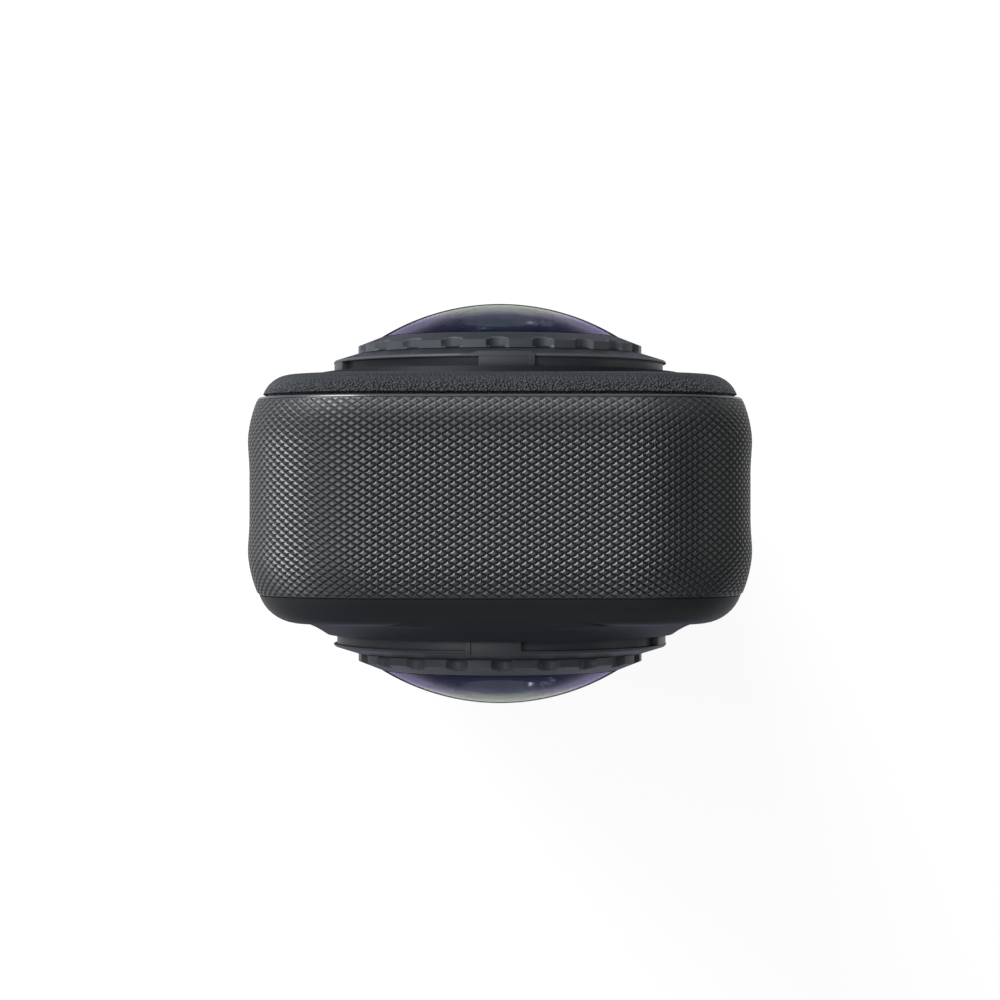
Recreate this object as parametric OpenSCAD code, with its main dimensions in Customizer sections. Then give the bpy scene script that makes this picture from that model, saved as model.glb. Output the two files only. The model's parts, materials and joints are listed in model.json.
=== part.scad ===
// 360 degree camera: a slim stick body with a fisheye lens on each face of its upper end.
// Origin at the middle of the base, +Z up the body, +Y out of the front lens,
// -Y out of the screen side, +X to the right as seen from the screen. Millimetres.
// A place along Y is measured from the middle plane between the two lenses.

/* [Body] */
// Width of the body across the knurled band
body_w = 46; // [45:0.5:50]
// Height of the body
body_h = 124.5; // [122:0.5:135]
// Corner radius of the outline at the top
top_corner_r = 12; // [11:0.5:13]
// Corner radius of the outline at the base
base_corner_r = 8; // [7:0.5:9]
// Distance of the front seam from the middle plane
front_seam = 9.7; // [9.5:0.05:10]
// Distance of the rear seam from the middle plane
rear_seam = 8.35; // [8.2:0.05:8.5]
// Rise of the front face over the front seam
front_rise = 2; // [1.8:0.05:2.3]
// Rise of the rear face over the rear seam
rear_rise = 2.5; // [2.3:0.05:2.8]
// Stretch beside each seam over which the band rounds off
edge_run = 4.65; // [4:0.05:5.5]
// How far the band draws in at its seams
edge_drop = 1; // [0.8:0.05:1.1]
// Edge radius of the front cover
front_edge_r = 2.7; // [2.4:0.05:2.7]
// Step from the band to the edge of the front cover
front_edge_step = 0.35; // [0.2:0.05:0.5]
// Edge radius of the rear cover
rear_edge_r = 3.8; // [3:0.1:4.2]
// Step from the band to the edge of the rear cover
rear_edge_step = 0.1; // [0.05:0.05:0.3]
// Depth by which the round base is cut flat for standing
foot_cut = 0.6; // [0.4:0.05:0.8]

/* [Shells] */
// Thickness of the knurled band
band_t = 0.9; // [0.7:0.05:1]
// Thickness of the mid frame's wall
frame_t = 2.1; // [2:0.05:2.4]
// Thickness of the cover plates
cover_t = 1.4; // [1.2:0.05:1.5]
// Thickness of the locating lips inside the covers
lip_t = 0.9; // [0.6:0.05:1]
// Depth to which the lips reach past the seams
lip_depth = 1; // [0.6:0.1:1.2]
// Depth of the shadow groove at the front seam
groove_d = 0.2; // [0.1:0.05:0.3]
// Width of the shadow groove at the front seam
groove_w = 0.5; // [0.3:0.05:0.7]
// Height of the base cap
base_h = 6; // [5:0.5:6.5]
// Thickness of the mid frame's floor
floor_t = 2; // [1.5:0.1:2.5]
// Width of the cover gaskets
gasket_w = 0.6; // [0.4:0.05:0.7]
// Thickness of the cover gaskets
gasket_t = 0.5; // [0.4:0.05:0.6]

/* [Clearances] */
// Gap between fixed pieces that locate each other
fit_gap = 0.1; // [0.05:0.05:0.15]
// Radial running gap of pins and screwed rings
run_gap = 0.08; // [0.05:0.01:0.1]
// Gap round doors and buttons
door_gap = 0.15; // [0.1:0.05:0.25]
// Gap between loose inner pieces and what holds them
seat_gap = 0.3; // [0.2:0.05:0.35]
// Gap between glued or stacked pieces
hair_gap = 0.05; // [0.02:0.01:0.08]
// Free travel left between a pressed button and its switch
press_slack = 0.05; // [0.02:0.01:0.1]

/* [Lens] */
// Distance of the lens axis below the top of the body
lens_drop = 22.5; // [22:0.5:24]
// Height of the front trim ring, on which the lens sits
trim_h = 0.6; // [0.4:0.05:0.8]
// Height of the bayonet neck
neck_h = 0.9; // [0.7:0.05:1.1]
// Radius of the bayonet neck
neck_r = 15.1; // [14.9:0.05:15.2]
// How far the bayonet blade stands out from the neck
blade_out = 0.65; // [0.5:0.05:0.8]
// Thickness of the blade at its rim
blade_rim = 0.25; // [0.15:0.05:0.4]
// Height of the blade's cone
blade_cone = 0.6; // [0.4:0.05:0.8]
// Radius at the top of the blade's cone
blade_top_r = 13.75; // [13.7:0.05:14]
// Angle of the neck's first lug from the top
first_lug = 2; // [-6:1:10]
// Angle of the neck's second lug from the top
second_lug = 137; // [130:1:145]
// Angle of the neck's third lug from the top
third_lug = 268; // [255:1:280]
// Width of the first and second lugs as an angle
lug_width = 18; // [12:1:24]
// Width of the third lug as an angle
wide_lug_width = 46; // [30:1:50]
// Radius of the outer lens ring
ring_r = 13.43; // [13.2:0.05:13.6]
// Height of the outer lens ring's wall
ring_wall = 0.72; // [0.5:0.05:0.9]
// Height of the outer lens ring's bevel
ring_bevel = 0.78; // [0.6:0.05:1]
// Number of spanner notches
notch_count = 20; // [12:1:24]
// Angle by which the notches are turned from the top
notch_turn = -1; // [-9:0.5:9]
// Radius of the spanner notches
notch_r = 1.1; // [0.8:0.05:1.2]
// Depth of the spanner notches
notch_d = 0.7; // [0.5:0.05:0.9]
// Radius of the outer lens's visible glass
glass_r = 11.4; // [11.3:0.05:11.6]
// Radius of curvature of the outer lens
dome_r = 21.5; // [20:0.5:23]
// Thickness of the outer lens
dome_t = 1; // [0.8:0.05:1.2]
// Radius of the screw spigot below the lens ring
thread_r = 12; // [11.9:0.05:12.2]
// Wall of the screw spigot
thread_t = 0.9; // [0.7:0.05:1]
// Length of the screw spigot
thread_len = 1.4; // [1:0.1:1.8]
// Gap from the barrel's collar to the flange's spigot
spigot_gap = 0.5; // [0.4:0.05:0.6]
// Wall of the flange's spigot
spigot_t = 0.9; // [0.7:0.05:1]
// Width of the lens gasket
lens_gasket_w = 0.95; // [0.8:0.05:1]
// Radius of the front trim ring
trim_r = 17.3; // [17:0.05:17.6]
// Radius of the rear pedestal's top
pedestal_r = 16.4; // [16:0.1:16.8]
// Radius of the rear pedestal's flared foot
flare_r = 20.8; // [19:0.1:22]
// Angle at which the flare leaves the edge of the rear cover
flare_slope = 30; // [20:1:36]
// Radius of the lens barrel
barrel_r = 11.3; // [11:0.05:11.4]
// Radius of the barrel's collar
collar_r = 12.6; // [12.3:0.05:12.8]
// Thickness of the barrel's collar
collar_t = 0.8; // [0.6:0.05:1]
// Radius of the barrel's nose
nose_r = 10.6; // [10.4:0.05:10.8]
// Height of the lip that holds the second lens element
nose_lip_h = 0.8; // [0.5:0.05:1]
// Thickness of that lip
nose_lip_t = 0.2; // [0.15:0.05:0.3]
// Edge radius of the second lens element
second_r = 8.2; // [7.8:0.1:8.4]
// Radius of curvature of the second lens element
second_curve_r = 10.7; // [10:0.1:12]
// Height of the second lens element
second_h = 4; // [3.4:0.1:4.2]
// Thickness of the second lens element
second_t = 1.6; // [1.2:0.1:2]
// Thickness of the third and fourth lens elements
element_t = 2; // [1.5:0.1:2.4]
// Edge radius of the third lens element
third_r = 5.5; // [5:0.1:5.8]
// Edge radius of the fourth lens element
fourth_r = 4; // [3.5:0.1:4.3]
// Wall between the two sensors
sensor_wall = 1.2; // [1:0.1:1.6]
// Gap from the corners of the sensor boards to the bores
sensor_gap = 0.45; // [0.3:0.05:1.5]
// Thickness of the sensor boards
sensor_board_t = 1; // [0.8:0.1:1.2]
// Side of the square image sensors
sensor_side = 9; // [7:0.5:10]
// Thickness of the image sensors
sensor_t = 0.9; // [0.6:0.1:1.1]
// Gap from the lens carrier down to the microphones
mic_gap = 0.7; // [0.5:0.05:1]
// Distance of the carrier screws from the carrier's sides
carrier_screw_side = 2.9; // [2.6:0.1:3.2]
// Distance of the upper carrier screws from the carrier's top
carrier_screw_top = 4; // [3.6:0.1:4.4]
// Distance of the lower carrier screws from the carrier's foot
carrier_screw_foot = 3.9; // [3.4:0.1:4.4]
// Radius of the carrier screws
carrier_screw_r = 0.75; // [0.6:0.05:0.8]
// Radius of the carrier screws' heads
carrier_head_r = 1.4; // [1.2:0.05:1.5]

/* [Screen and rear buttons] */
// Distance of the screen glass from the sides of the body
screen_side = 5; // [4.9:0.1:6]
// Gap from the screen glass down to the rear buttons
screen_button_gap = 7.2; // [3:0.1:9]
// Corner radius of the screen glass
screen_r = 3; // [2:0.25:4]
// Thickness of the screen glass
screen_t = 0.9; // [0.7:0.05:1]
// Gap from the screen up to the lens pedestal
screen_lens_gap = 1.2; // [1:0.1:3]
// Width of the ledge under the screen glass
ledge_w = 1.3; // [1:0.1:1.6]
// Thickness of the display panel
display_t = 1.3; // [1:0.1:1.5]
// Radius of the rear buttons
button_r = 5.2; // [4.5:0.1:5.6]
// Distance of the rear buttons from the middle
button_x = 8.2; // [7.8:0.1:8.8]
// Height of the rear buttons above the base
button_z = 15.6; // [15:0.1:16]
// How far the rear buttons stand proud
button_proud = 0.4; // [0.2:0.05:0.6]
// Width and thickness of the rim that keeps a button in
button_rim = 0.4; // [0.3:0.05:0.5]
// Travel of the rear buttons
button_travel = 0.5; // [0.3:0.05:0.55]
// Length of a button's stem
button_stem = 0.15; // [0.1:0.01:0.25]

/* [Boards] */
// Gap from the display panel to the main board
board_gap = 1.1; // [1:0.05:1.3]
// Thickness of the main board
board_t = 1; // [0.8:0.1:1.2]
// Gap from the main board to the sides of the mid frame
board_side = 1.5; // [1.5:0.1:3]
// Thickness of the processor shield
shield_t = 0.8; // [0.6:0.05:1]
// Side of the square processor shield
shield_side = 20; // [16:0.5:22]
// Gap for the thermal pad on the shield
pad_gap = 0.2; // [0.1:0.05:0.3]
// Radius of the board screws
board_screw_r = 0.6; // [0.5:0.05:0.7]
// Distance of the board screws from the end of the battery bay
board_screw_in = 1.6; // [1.2:0.1:3]
// Thickness of the heat spreader
spreader_t = 0.8; // [0.5:0.05:1]
// Thickness of the antenna foil
antenna_t = 0.2; // [0.1:0.05:0.3]

/* [Battery] */
// Thickness of the battery pack
pack_t = 11; // [10.4:0.1:11.3]
// Free space from the card socket up to the lens carrier
carrier_gap = 4.5; // [3:0.1:8]
// Length of the pegs from the battery bay to the side switch board
peg_len = 0.8; // [0.6:0.1:2]
// Corner radius of the battery pack
pack_r = 2.5; // [2:0.1:3]
// Free space behind the pack for the contacts
pack_end_gap = 0.6; // [0.5:0.05:0.8]
// Number of battery contacts
contact_count = 4; // [3:1:6]
// Distance between the battery contacts
contact_pitch = 2.75; // [2.4:0.05:3]
// Width of a battery contact
contact_w = 1.4; // [1:0.1:1.6]
// Wall of the battery bay
bay_t = 0.7; // [0.6:0.05:0.8]
// Margin of the door opening round the pack
door_margin = 0.6; // [0.5:0.05:0.8]
// Thickness of the battery door
door_t = 2.6; // [2.4:0.05:2.8]
// Corner radius of the battery door
door_r = 2.5; // [2:0.1:3]
// Depth of the groove that holds the battery seal
seal_d = 0.5; // [0.4:0.05:0.6]
// Width of the battery seal
seal_w = 0.6; // [0.4:0.05:0.7]
// Distance of the battery seal from the door's inner face
seal_inset = 0.3; // [0.2:0.05:0.4]
// Height of the card socket
card_h = 2.2; // [1.8:0.1:2.6]
// Width of the latch's thumb piece
latch_w = 4.8; // [4:0.1:5.4]
// Length of the latch's thumb piece
latch_len = 8; // [7:0.25:9]
// Travel of the latch
latch_travel = 2.2; // [1.5:0.1:2.6]
// Thickness of the latch's foot
latch_foot = 0.5; // [0.4:0.05:0.6]
// Distance of the latch's thumb piece from the door's top
latch_drop = 5; // [4.5:0.25:8]

/* [Side buttons and USB door] */
// Width of the side buttons
side_button_w = 4.2; // [3.6:0.1:4.6]
// Length of the side buttons
side_button_len = 9.5; // [8:0.25:10]
// Depth of the side buttons' tops below the band
side_button_sunk = 0.15; // [0.1:0.05:0.3]
// Radius of the stems of all buttons
stem_r = 1.2; // [0.8:0.1:1.4]
// Travel of the side buttons
side_travel = 0.4; // [0.3:0.05:0.45]
// Distance of the power button below the top of the battery bay
power_drop = 10.9; // [9:0.1:14]
// Distance of the quick button below the power button
quick_drop = 14; // [13:0.5:18]
// Height of the side switches
side_switch_h = 0.7; // [0.5:0.05:0.8]
// Thickness of the side switch board
side_board_t = 0.8; // [0.6:0.05:1]
// Width of the USB door opening
usb_w = 9.2; // [8.6:0.1:9.6]
// Height of the USB door opening
usb_h = 12.3; // [12:0.1:12.8]
// Thickness of the USB door
usb_t = 1.8; // [1.6:0.05:1.9]
// Radius of the USB door's hinge knuckle
knuckle_r = 1.7; // [1.6:0.05:1.8]
// Radius of the USB door's hinge pin
pin_r = 0.6; // [0.5:0.05:0.7]
// Depth to which the hinge pin enters its slot in the frame at each end
pin_bite = 1; // [0.8:0.1:1.2]
// Thickness of the USB port's shell outside
port_t = 3.2; // [3:0.1:3.4]
// Width of the USB port's shell outside
port_w = 9; // [8.8:0.05:9.2]
// Depth of the USB port
port_len = 7; // [6:0.25:7.5]
// Wall of the USB port's shell
port_wall = 0.3; // [0.25:0.05:0.35]
// Length of the USB board
usb_board_len = 10.2; // [9:0.2:12]

/* [Base] */
// Radius of the tripod thread's bore
tripod_r = 3.18; // [3.1:0.01:3.25]
// Depth of the tripod thread
tripod_depth = 5.75; // [5:0.25:7]
// Radius of the tripod insert
insert_r = 4.8; // [4.5:0.1:5]
// Thickness of the closed end of the insert
insert_end = 1; // [0.8:0.1:1.2]
// Distance of the base plate from the sides of the body
plate_side = 7; // [6.5:0.25:8]
// Width of the base plate
plate_d = 13; // [11:0.25:13.5]
// Thickness of the base plate
plate_t = 1; // [0.8:0.05:1.2]
// Corner radius of the base plate
plate_r = 3.2; // [2:0.2:4]
// Width of the locating slots
slot_w = 2.6; // [2:0.1:3]
// Length of the locating slots
slot_len = 7; // [6:0.25:8]
// Distance of the base screws from the ends of the base plate
base_screw_in = 3; // [2.7:0.1:3.5]
// Radius of the base screws
base_screw_r = 0.9; // [0.8:0.05:1]
// Radius of the base screws' heads
base_head_r = 1.7; // [1.5:0.05:1.8]

/* [Sound and light] */
// Width of the microphone mesh
mesh_w = 12; // [10:0.5:14]
// Height of the microphone mesh
mesh_h = 3; // [2.6:0.1:3.2]
// Thickness of the microphone mesh
mesh_t = 0.4; // [0.3:0.05:0.5]
// Gap from the trim ring down to the microphone mesh
mesh_drop = 1.8; // [1.6:0.1:2]
// Radius of the status light
light_r = 1; // [0.8:0.05:1.2]
// Gap from the microphone mesh down to the status light
light_drop = 4; // [3.5:0.25:5]
// Width of the speaker
speaker_w = 12; // [10:0.5:12.5]
// Height of the speaker
speaker_h = 8; // [7:0.25:8.5]
// Thickness of the speaker
speaker_t = 3; // [2.4:0.1:3.4]
// Gap from the speaker to the side of the mid frame
speaker_side = 4; // [3.5:0.25:4.5]
// Number of speaker holes in a row
speaker_holes = 4; // [3:1:5]
// Distance between the speaker holes
speaker_pitch = 1.8; // [1.5:0.1:2]
// Radius of the speaker holes
speaker_hole_r = 0.6; // [0.5:0.05:0.7]

/* [Hidden] */
$fn = 96;

// A cut or a joined piece runs this far past the face that it meets
bite = 0.2;
// Half the side of the blocks that cut whole pieces
reach = body_w;

half_w = body_w / 2;
front_face = front_seam + front_rise;
rear_face = rear_seam + rear_rise;
seat_y = front_face + trim_h;
top_turn_x = half_w - top_corner_r;
top_turn_z = body_h - top_corner_r;
base_turn_x = half_w - base_corner_r;
base_turn_z = base_corner_r - foot_cut;
band_r = (edge_run * edge_run + edge_drop * edge_drop) / (2 * edge_drop);
front_turn = front_seam - edge_run;
rear_turn = edge_run - rear_seam;
band_mid = (front_seam - rear_seam) / 2;
frame_in = band_t + frame_t;
cavity_x = half_w - frame_in;
cavity_floor = base_h + floor_t;
lip_in = frame_in + fit_gap;
front_in = front_face - cover_t;
rear_in = cover_t - rear_face;
lens_z = body_h - lens_drop;

// Lens stack, as distances from the middle plane
lug_angles = [first_lug, second_lug, third_lug];
lug_widths = [lug_width, lug_width, wide_lug_width];
blade_r = neck_r + blade_out;
spigot_r = collar_r + spigot_gap + spigot_t;
blade_y = seat_y + neck_h;
blade_top_y = blade_y + blade_rim + blade_cone;
ring_y = blade_top_y + run_gap;
ring_wall_y = ring_y + ring_wall;
ring_top_y = ring_wall_y + ring_bevel;
dome_y = ring_top_y - sqrt(dome_r * dome_r - glass_r * glass_r);
dome_edge_r = glass_r - fit_gap;
dome_seat_y = dome_y + sqrt(pow(dome_r - dome_t, 2) - pow(dome_edge_r, 2));
cover_hole_r = spigot_r + lens_gasket_w;
carrier_front = front_in - seat_gap;
carrier_rear = -rear_in - seat_gap;
carrier_in = lip_in + lip_t + door_gap;
carrier_z = lens_z - trim_r - mesh_drop + mic_gap;
carrier_screw_x = half_w - carrier_in - carrier_screw_side;
carrier_screw_zs = [carrier_z + carrier_screw_foot, body_h - carrier_in - carrier_screw_top];
bore_r = barrel_r + fit_gap;
sensor_board = sqrt(2) * (bore_r - sensor_gap);
sensor_y = sensor_wall / 2;
sensor_top_y = sensor_y + sensor_board_t + sensor_t;
barrel_y = sensor_top_y + seat_gap;
nose_y = ring_y - thread_len;
second_y = nose_y + fit_gap;
third_y = (barrel_y + second_y) / 2;

// Rear stack from the screen inwards
display_rear = screen_t - rear_face;
display_front = display_rear + display_t;
board_rear = display_front + board_gap;
board_front = board_rear + board_t;
bay_rear = board_front + shield_t + pad_gap;
pack_rear = bay_rear + bay_t + seat_gap;
pack_front = pack_rear + pack_t;
bay_front = pack_front + seat_gap + bay_t;
pack_mid = (pack_rear + pack_front) / 2;
screen_w = body_w - 2 * screen_side;
screen_top = lens_z - flare_r - screen_lens_gap;
screen_h = screen_top - button_z - button_r - screen_button_gap;
screen_mid = screen_top - screen_h / 2;
button_rim_y = rear_in + door_gap;
button_end_y = button_rim_y + button_rim + button_stem;
switch_y = button_end_y + button_travel + press_slack;

// USB door and what stands over it
usb_z = cavity_floor + seat_gap;
usb_top = usb_z + usb_h;
usb_mid = (usb_z + usb_top) / 2;
pin_x = half_w - knuckle_r - hair_gap;
pin_z = usb_z + door_gap + knuckle_r;
pin_y0 = band_mid - usb_w / 2 - pin_bite;
pin_y1 = band_mid + usb_w / 2 + pin_bite;
pin_slot = pin_r + hair_gap;
port_x = pin_x - knuckle_r - seat_gap;
port_y = band_mid - port_t / 2;

// Battery bay, between the USB door and the lens carrier
card_top = carrier_z - carrier_gap;
bay_z = usb_top + seat_gap;
bay_top = card_top - card_h;
pack_z = bay_z + bay_t + seat_gap;
pack_top = bay_top - bay_t - seat_gap;
pack_h = pack_top - pack_z;

// Side buttons and their board, inwards from the band
power_z = bay_top - power_drop;
quick_z = power_z - quick_drop;
side_rim_x = cavity_x - door_gap;
side_end_x = side_rim_x - 2 * button_rim;
side_switch_x = side_end_x - side_travel - press_slack;
side_board_x = side_switch_x - side_switch_h;
side_board_z = quick_z - side_button_len / 2;
side_board_top = power_z + side_button_len / 2;

// Battery, from its door to the end of its bay
bay_end = side_board_x - side_board_t - peg_len;
bay_end_in = bay_end - bay_t;
pack_end = bay_end_in - pack_end_gap;
door_x = door_t - half_w;
pack_w = pack_end - door_x;
door_w = pack_t + 2 * door_margin;
door_z = pack_z - door_margin;
door_top = card_top + door_margin;
door_h = door_top - door_z;
door_mid = (door_z + door_top) / 2;
latch_out = half_w - 2 * hair_gap;
latch_foot_w = latch_w + 4 * latch_foot;
latch_foot_x = -half_w + (door_t - latch_foot) / 2;
latch_z = door_top - latch_drop - latch_travel - latch_len;

// Main board
board_x = cavity_x - board_side;
board_screw_x = bay_end_in - board_screw_in;

// Base plate
plate_w = body_w - 2 * plate_side;
base_screw_x = plate_w / 2 - base_screw_in;
slot_x = (insert_r + base_screw_x - base_head_r) / 2;

// Sound and light
mesh_z = lens_z - trim_r - mesh_drop - mesh_h / 2;
light_z = mesh_z - mesh_h / 2 - light_drop;
mic_r = mesh_h / 2;
speaker_x = cavity_x - speaker_side - speaker_w / 2;
speaker_z = cavity_floor + speaker_h / 2 + seat_gap;

shell_black = [0.13, 0.13, 0.14];
band_grey = [0.3, 0.3, 0.31];
leather_grey = [0.22, 0.22, 0.23];
metal_grey = [0.6, 0.61, 0.63];
glass_blue = [0.2, 0.22, 0.3, 0.5];
board_green = [0.08, 0.3, 0.17];
rubber_grey = [0.09, 0.09, 0.09];

// Flat outlines

module rounded_rect(w, h, r) {
    square([w - 2 * r, h], center = true);
    square([w, h - 2 * r], center = true);
    for (sx = [-1, 1], sy = [-1, 1])
        translate([sx * (w / 2 - r), sy * (h / 2 - r)]) circle(r);
}

module pill(w, h) {
    square([w, h - w], center = true);
    for (sy = [-1, 1])
        translate([0, sy * (h - w) / 2]) circle(w / 2);
}

// Extrusions of an outline: along X the outline lies in Y and Z, along Y in X and Z

module along_x(x0, x1) {
    translate([x0, 0, 0]) rotate([90, 0, 90]) linear_extrude(x1 - x0) children();
}

module along_y(y0, y1) {
    translate([0, y1, 0]) rotate([90, 0, 0]) linear_extrude(y1 - y0) children();
}

module block(x0, x1, y0, y1, z0, z1) {
    translate([x0, y0, z0]) cube([x1 - x0, y1 - y0, z1 - z0]);
}

module pin_along_y(x, z, r, y0, y1) {
    translate([x, y0, z]) rotate([-90, 0, 0]) cylinder(r = r, h = y1 - y0);
}

module above(z) {
    block(-reach, reach, -reach, reach, z, body_h + reach);
}

// Sweep of a section round the body's outline. The section has its first axis outwards
// from the outline and its second axis along Y.

module clipped(r) {
    intersection() {
        translate([r, 0]) children();
        translate([0, -reach]) square([r + bite, 2 * reach]);
    }
}

module corner(x, z, r, start) {
    translate([x, 0, z]) rotate([90, 0, 0]) rotate([0, 0, start])
        rotate_extrude(angle = 90) mirror([0, 1]) clipped(r) children();
}

module pillow() {
    translate([0, 0, base_turn_z]) linear_extrude(top_turn_z - base_turn_z)
        for (side = [0, 1]) mirror([side, 0]) clipped(half_w) children();
    translate([0, 0, top_turn_z]) rotate([0, -90, 0])
        linear_extrude(2 * top_turn_x, center = true) clipped(top_corner_r) children();
    translate([0, 0, base_turn_z]) rotate([0, 90, 0])
        linear_extrude(2 * base_turn_x, center = true) clipped(base_corner_r) children();
    corner(top_turn_x, top_turn_z, top_corner_r, 0) children();
    corner(-top_turn_x, top_turn_z, top_corner_r, 90) children();
    corner(-base_turn_x, base_turn_z, base_corner_r, 180) children();
    corner(base_turn_x, base_turn_z, base_corner_r, 270) children();
}

module band_section(inset, over = 0) {
    intersection() {
        union() {
            translate([-reach, rear_turn]) square([reach - inset, front_turn - rear_turn]);
            translate([-reach, -reach]) square([reach - band_r, 2 * reach]);
            translate([-band_r, front_turn]) circle(band_r - inset);
            translate([-band_r, rear_turn]) circle(band_r - inset);
        }
        translate([-reach, -rear_seam - over])
            square([reach, front_seam + rear_seam + 2 * over]);
    }
}

module ring_section(outer, inner, y0, y1) {
    translate([-inner, y0]) square([inner - outer, y1 - y0]);
}

// How far inside the outline the round edge of a cover has its centre
function edge_centre(seam, face, edge_r, edge_in) =
    edge_in + sqrt(edge_r * edge_r - pow(seam - face + edge_r, 2));

// Half of a cover's section, with the seam on the first axis and the face above it
module cover_section(seam, face, edge_r, edge_in) {
    centre_u = edge_centre(seam, face, edge_r, edge_in);
    intersection() {
        union() {
            translate([-reach, 0]) square([reach - centre_u, face]);
            translate([-centre_u, face - edge_r]) circle(edge_r);
        }
        translate([-reach, seam]) square([reach, face - seam]);
    }
}

// Pieces of the body

module base_cap() {
    color(shell_black) difference() {
        intersection() {
            pillow() band_section(0);
            block(-reach, reach, -reach, reach, 0, base_h);
        }
        gasket_rabbets();
        base_plate_blank(fit_gap);
        translate([0, 0, -bite]) cylinder(r = insert_r + fit_gap, h = base_h + 2 * bite);
        for (side = [-1, 1]) translate([side * base_screw_x, 0, -bite])
            cylinder(r = base_screw_r + fit_gap, h = base_h + 2 * bite);
    }
}

module base_plate_blank(gap) {
    translate([0, 0, -bite]) linear_extrude(plate_t + bite)
        rounded_rect(plate_w + 2 * gap, plate_d + 2 * gap, plate_r + gap);
}

module base_plate() {
    color(metal_grey) difference() {
        intersection() {
            base_plate_blank(0);
            above(0);
        }
        translate([0, 0, -bite]) cylinder(r = insert_r + fit_gap, h = plate_t + 2 * bite);
        for (side = [-1, 1]) {
            translate([side * slot_x, 0, -bite]) linear_extrude(plate_t + 2 * bite)
                pill(slot_w, slot_len);
            translate([side * base_screw_x, 0, -bite])
                cylinder(r = base_head_r + fit_gap, h = plate_t + 2 * bite);
        }
    }
}

module base_screws() {
    head = plate_t - fit_gap;
    color(metal_grey) for (side = [-1, 1]) translate([side * base_screw_x, 0, 0]) {
        difference() {
            translate([0, 0, fit_gap]) cylinder(r = base_head_r, h = head);
            cylinder(r = base_screw_r, h = plate_t / 2, $fn = 6);
        }
        translate([0, 0, plate_t]) cylinder(r = base_screw_r, h = cavity_floor - plate_t);
    }
}

module tripod_insert() {
    color("goldenrod") difference() {
        cylinder(r = insert_r, h = tripod_depth + insert_end);
        translate([0, 0, -bite]) cylinder(r = tripod_r, h = tripod_depth + bite);
    }
}

module gasket_rabbets() {
    pillow() ring_section(frame_in - gasket_w, frame_in + bite, front_seam - gasket_t, reach);
    pillow() ring_section(frame_in - gasket_w, frame_in + bite, -reach, gasket_t - rear_seam);
}

module battery_window(gap, x0, x1) {
    along_x(x0, x1) translate([pack_mid, door_mid])
        rounded_rect(door_w - 2 * gap, door_h - 2 * gap, door_r - gap);
}

module usb_window(gap, x0, x1) {
    along_x(x0, x1) translate([band_mid, usb_mid]) {
        rounded_rect(usb_w - 2 * gap, usb_h - 2 * gap, knuckle_r - gap);
        translate([0, -usb_h / 4]) square([usb_w - 2 * gap, usb_h / 2 - 2 * gap], center = true);
    }
}

module side_button_windows(gap) {
    for (z = [power_z, quick_z])
        along_x(cavity_x - bite, half_w + bite) translate([band_mid, z])
            pill(side_button_w + 2 * gap, side_button_len + 2 * gap);
}

module side_openings() {
    battery_window(0, -half_w - bite, -cavity_x + bite);
    usb_window(0, cavity_x - bite, half_w + bite);
    side_button_windows(door_gap);
}

module mid_frame() {
    color(shell_black) difference() {
        intersection() {
            pillow() band_section(band_t);
            above(base_h);
        }
        intersection() {
            pillow() ring_section(frame_in, reach, -reach, reach);
            above(cavity_floor);
        }
        gasket_rabbets();
        side_openings();
        block(cavity_x - bite, pin_x + pin_slot, pin_y0, pin_y1, pin_z - pin_slot, pin_z + pin_slot);
        translate([0, 0, base_h - bite]) cylinder(r = insert_r + fit_gap, h = floor_t + 2 * bite);
        for (side = [-1, 1]) translate([side * base_screw_x, 0, base_h - bite])
            cylinder(r = base_screw_r, h = floor_t + 2 * bite);
    }
}

module grip_band() {
    color(band_grey) difference() {
        intersection() {
            pillow() difference() {
                band_section(0);
                band_section(band_t, bite);
            }
            above(base_h);
        }
        side_openings();
    }
}

module gasket(y0, y1) {
    color(rubber_grey) pillow()
        ring_section(frame_in - gasket_w + hair_gap, frame_in, y0, y1);
}

module front_gasket() {
    gasket(front_seam - gasket_t, front_seam);
}

module rear_gasket() {
    gasket(-rear_seam, gasket_t - rear_seam);
}

module lip(y0, y1) {
    intersection() {
        pillow() ring_section(lip_in, lip_in + lip_t, y0, y1);
        above(cavity_floor + fit_gap);
    }
}

module front_cover() {
    color(leather_grey) difference() {
        union() {
            intersection() {
                pillow() difference() {
                    cover_section(front_seam, front_face, front_edge_r, edge_drop + front_edge_step);
                    ring_section(0, edge_drop + front_edge_step + groove_w, 0, front_seam + groove_d);
                    ring_section(frame_in, reach, 0, front_in);
                }
                above(0);
            }
            lip(front_seam - lip_depth, front_in + bite);
        }
        pin_along_y(0, lens_z, cover_hole_r, 0, front_face + bite);
        along_y(front_face - mesh_t - fit_gap, front_face + bite) translate([0, mesh_z])
            rotate(90) pill(mesh_h + 2 * fit_gap, mesh_w + 2 * fit_gap);
        for (side = [-1, 1]) pin_along_y(side * mesh_w / 4, mesh_z, mic_r / 2, 0, front_face);
        pin_along_y(0, light_z, light_r + fit_gap / 2, 0, front_face + bite);
        for (i = [1 : speaker_holes], row = [-1, 1])
            pin_along_y(-speaker_x + (i - (speaker_holes + 1) / 2) * speaker_pitch,
                speaker_z + row * speaker_pitch / 2, speaker_hole_r, 0, front_face + bite);
    }
}

// All that lies below the tangent at which the flare leaves the rear edge
module flare_section() {
    centre_u = edge_centre(rear_seam, rear_face, rear_edge_r, edge_drop + rear_edge_step);
    u = centre_u - rear_edge_r * sin(flare_slope);
    y = rear_face - rear_edge_r * (1 - cos(flare_slope));
    polygon([
        [-reach, rear_seam], [-reach, y + (reach - u) * tan(flare_slope)],
        [-u, y], [-u, rear_seam]
    ]);
}

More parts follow.
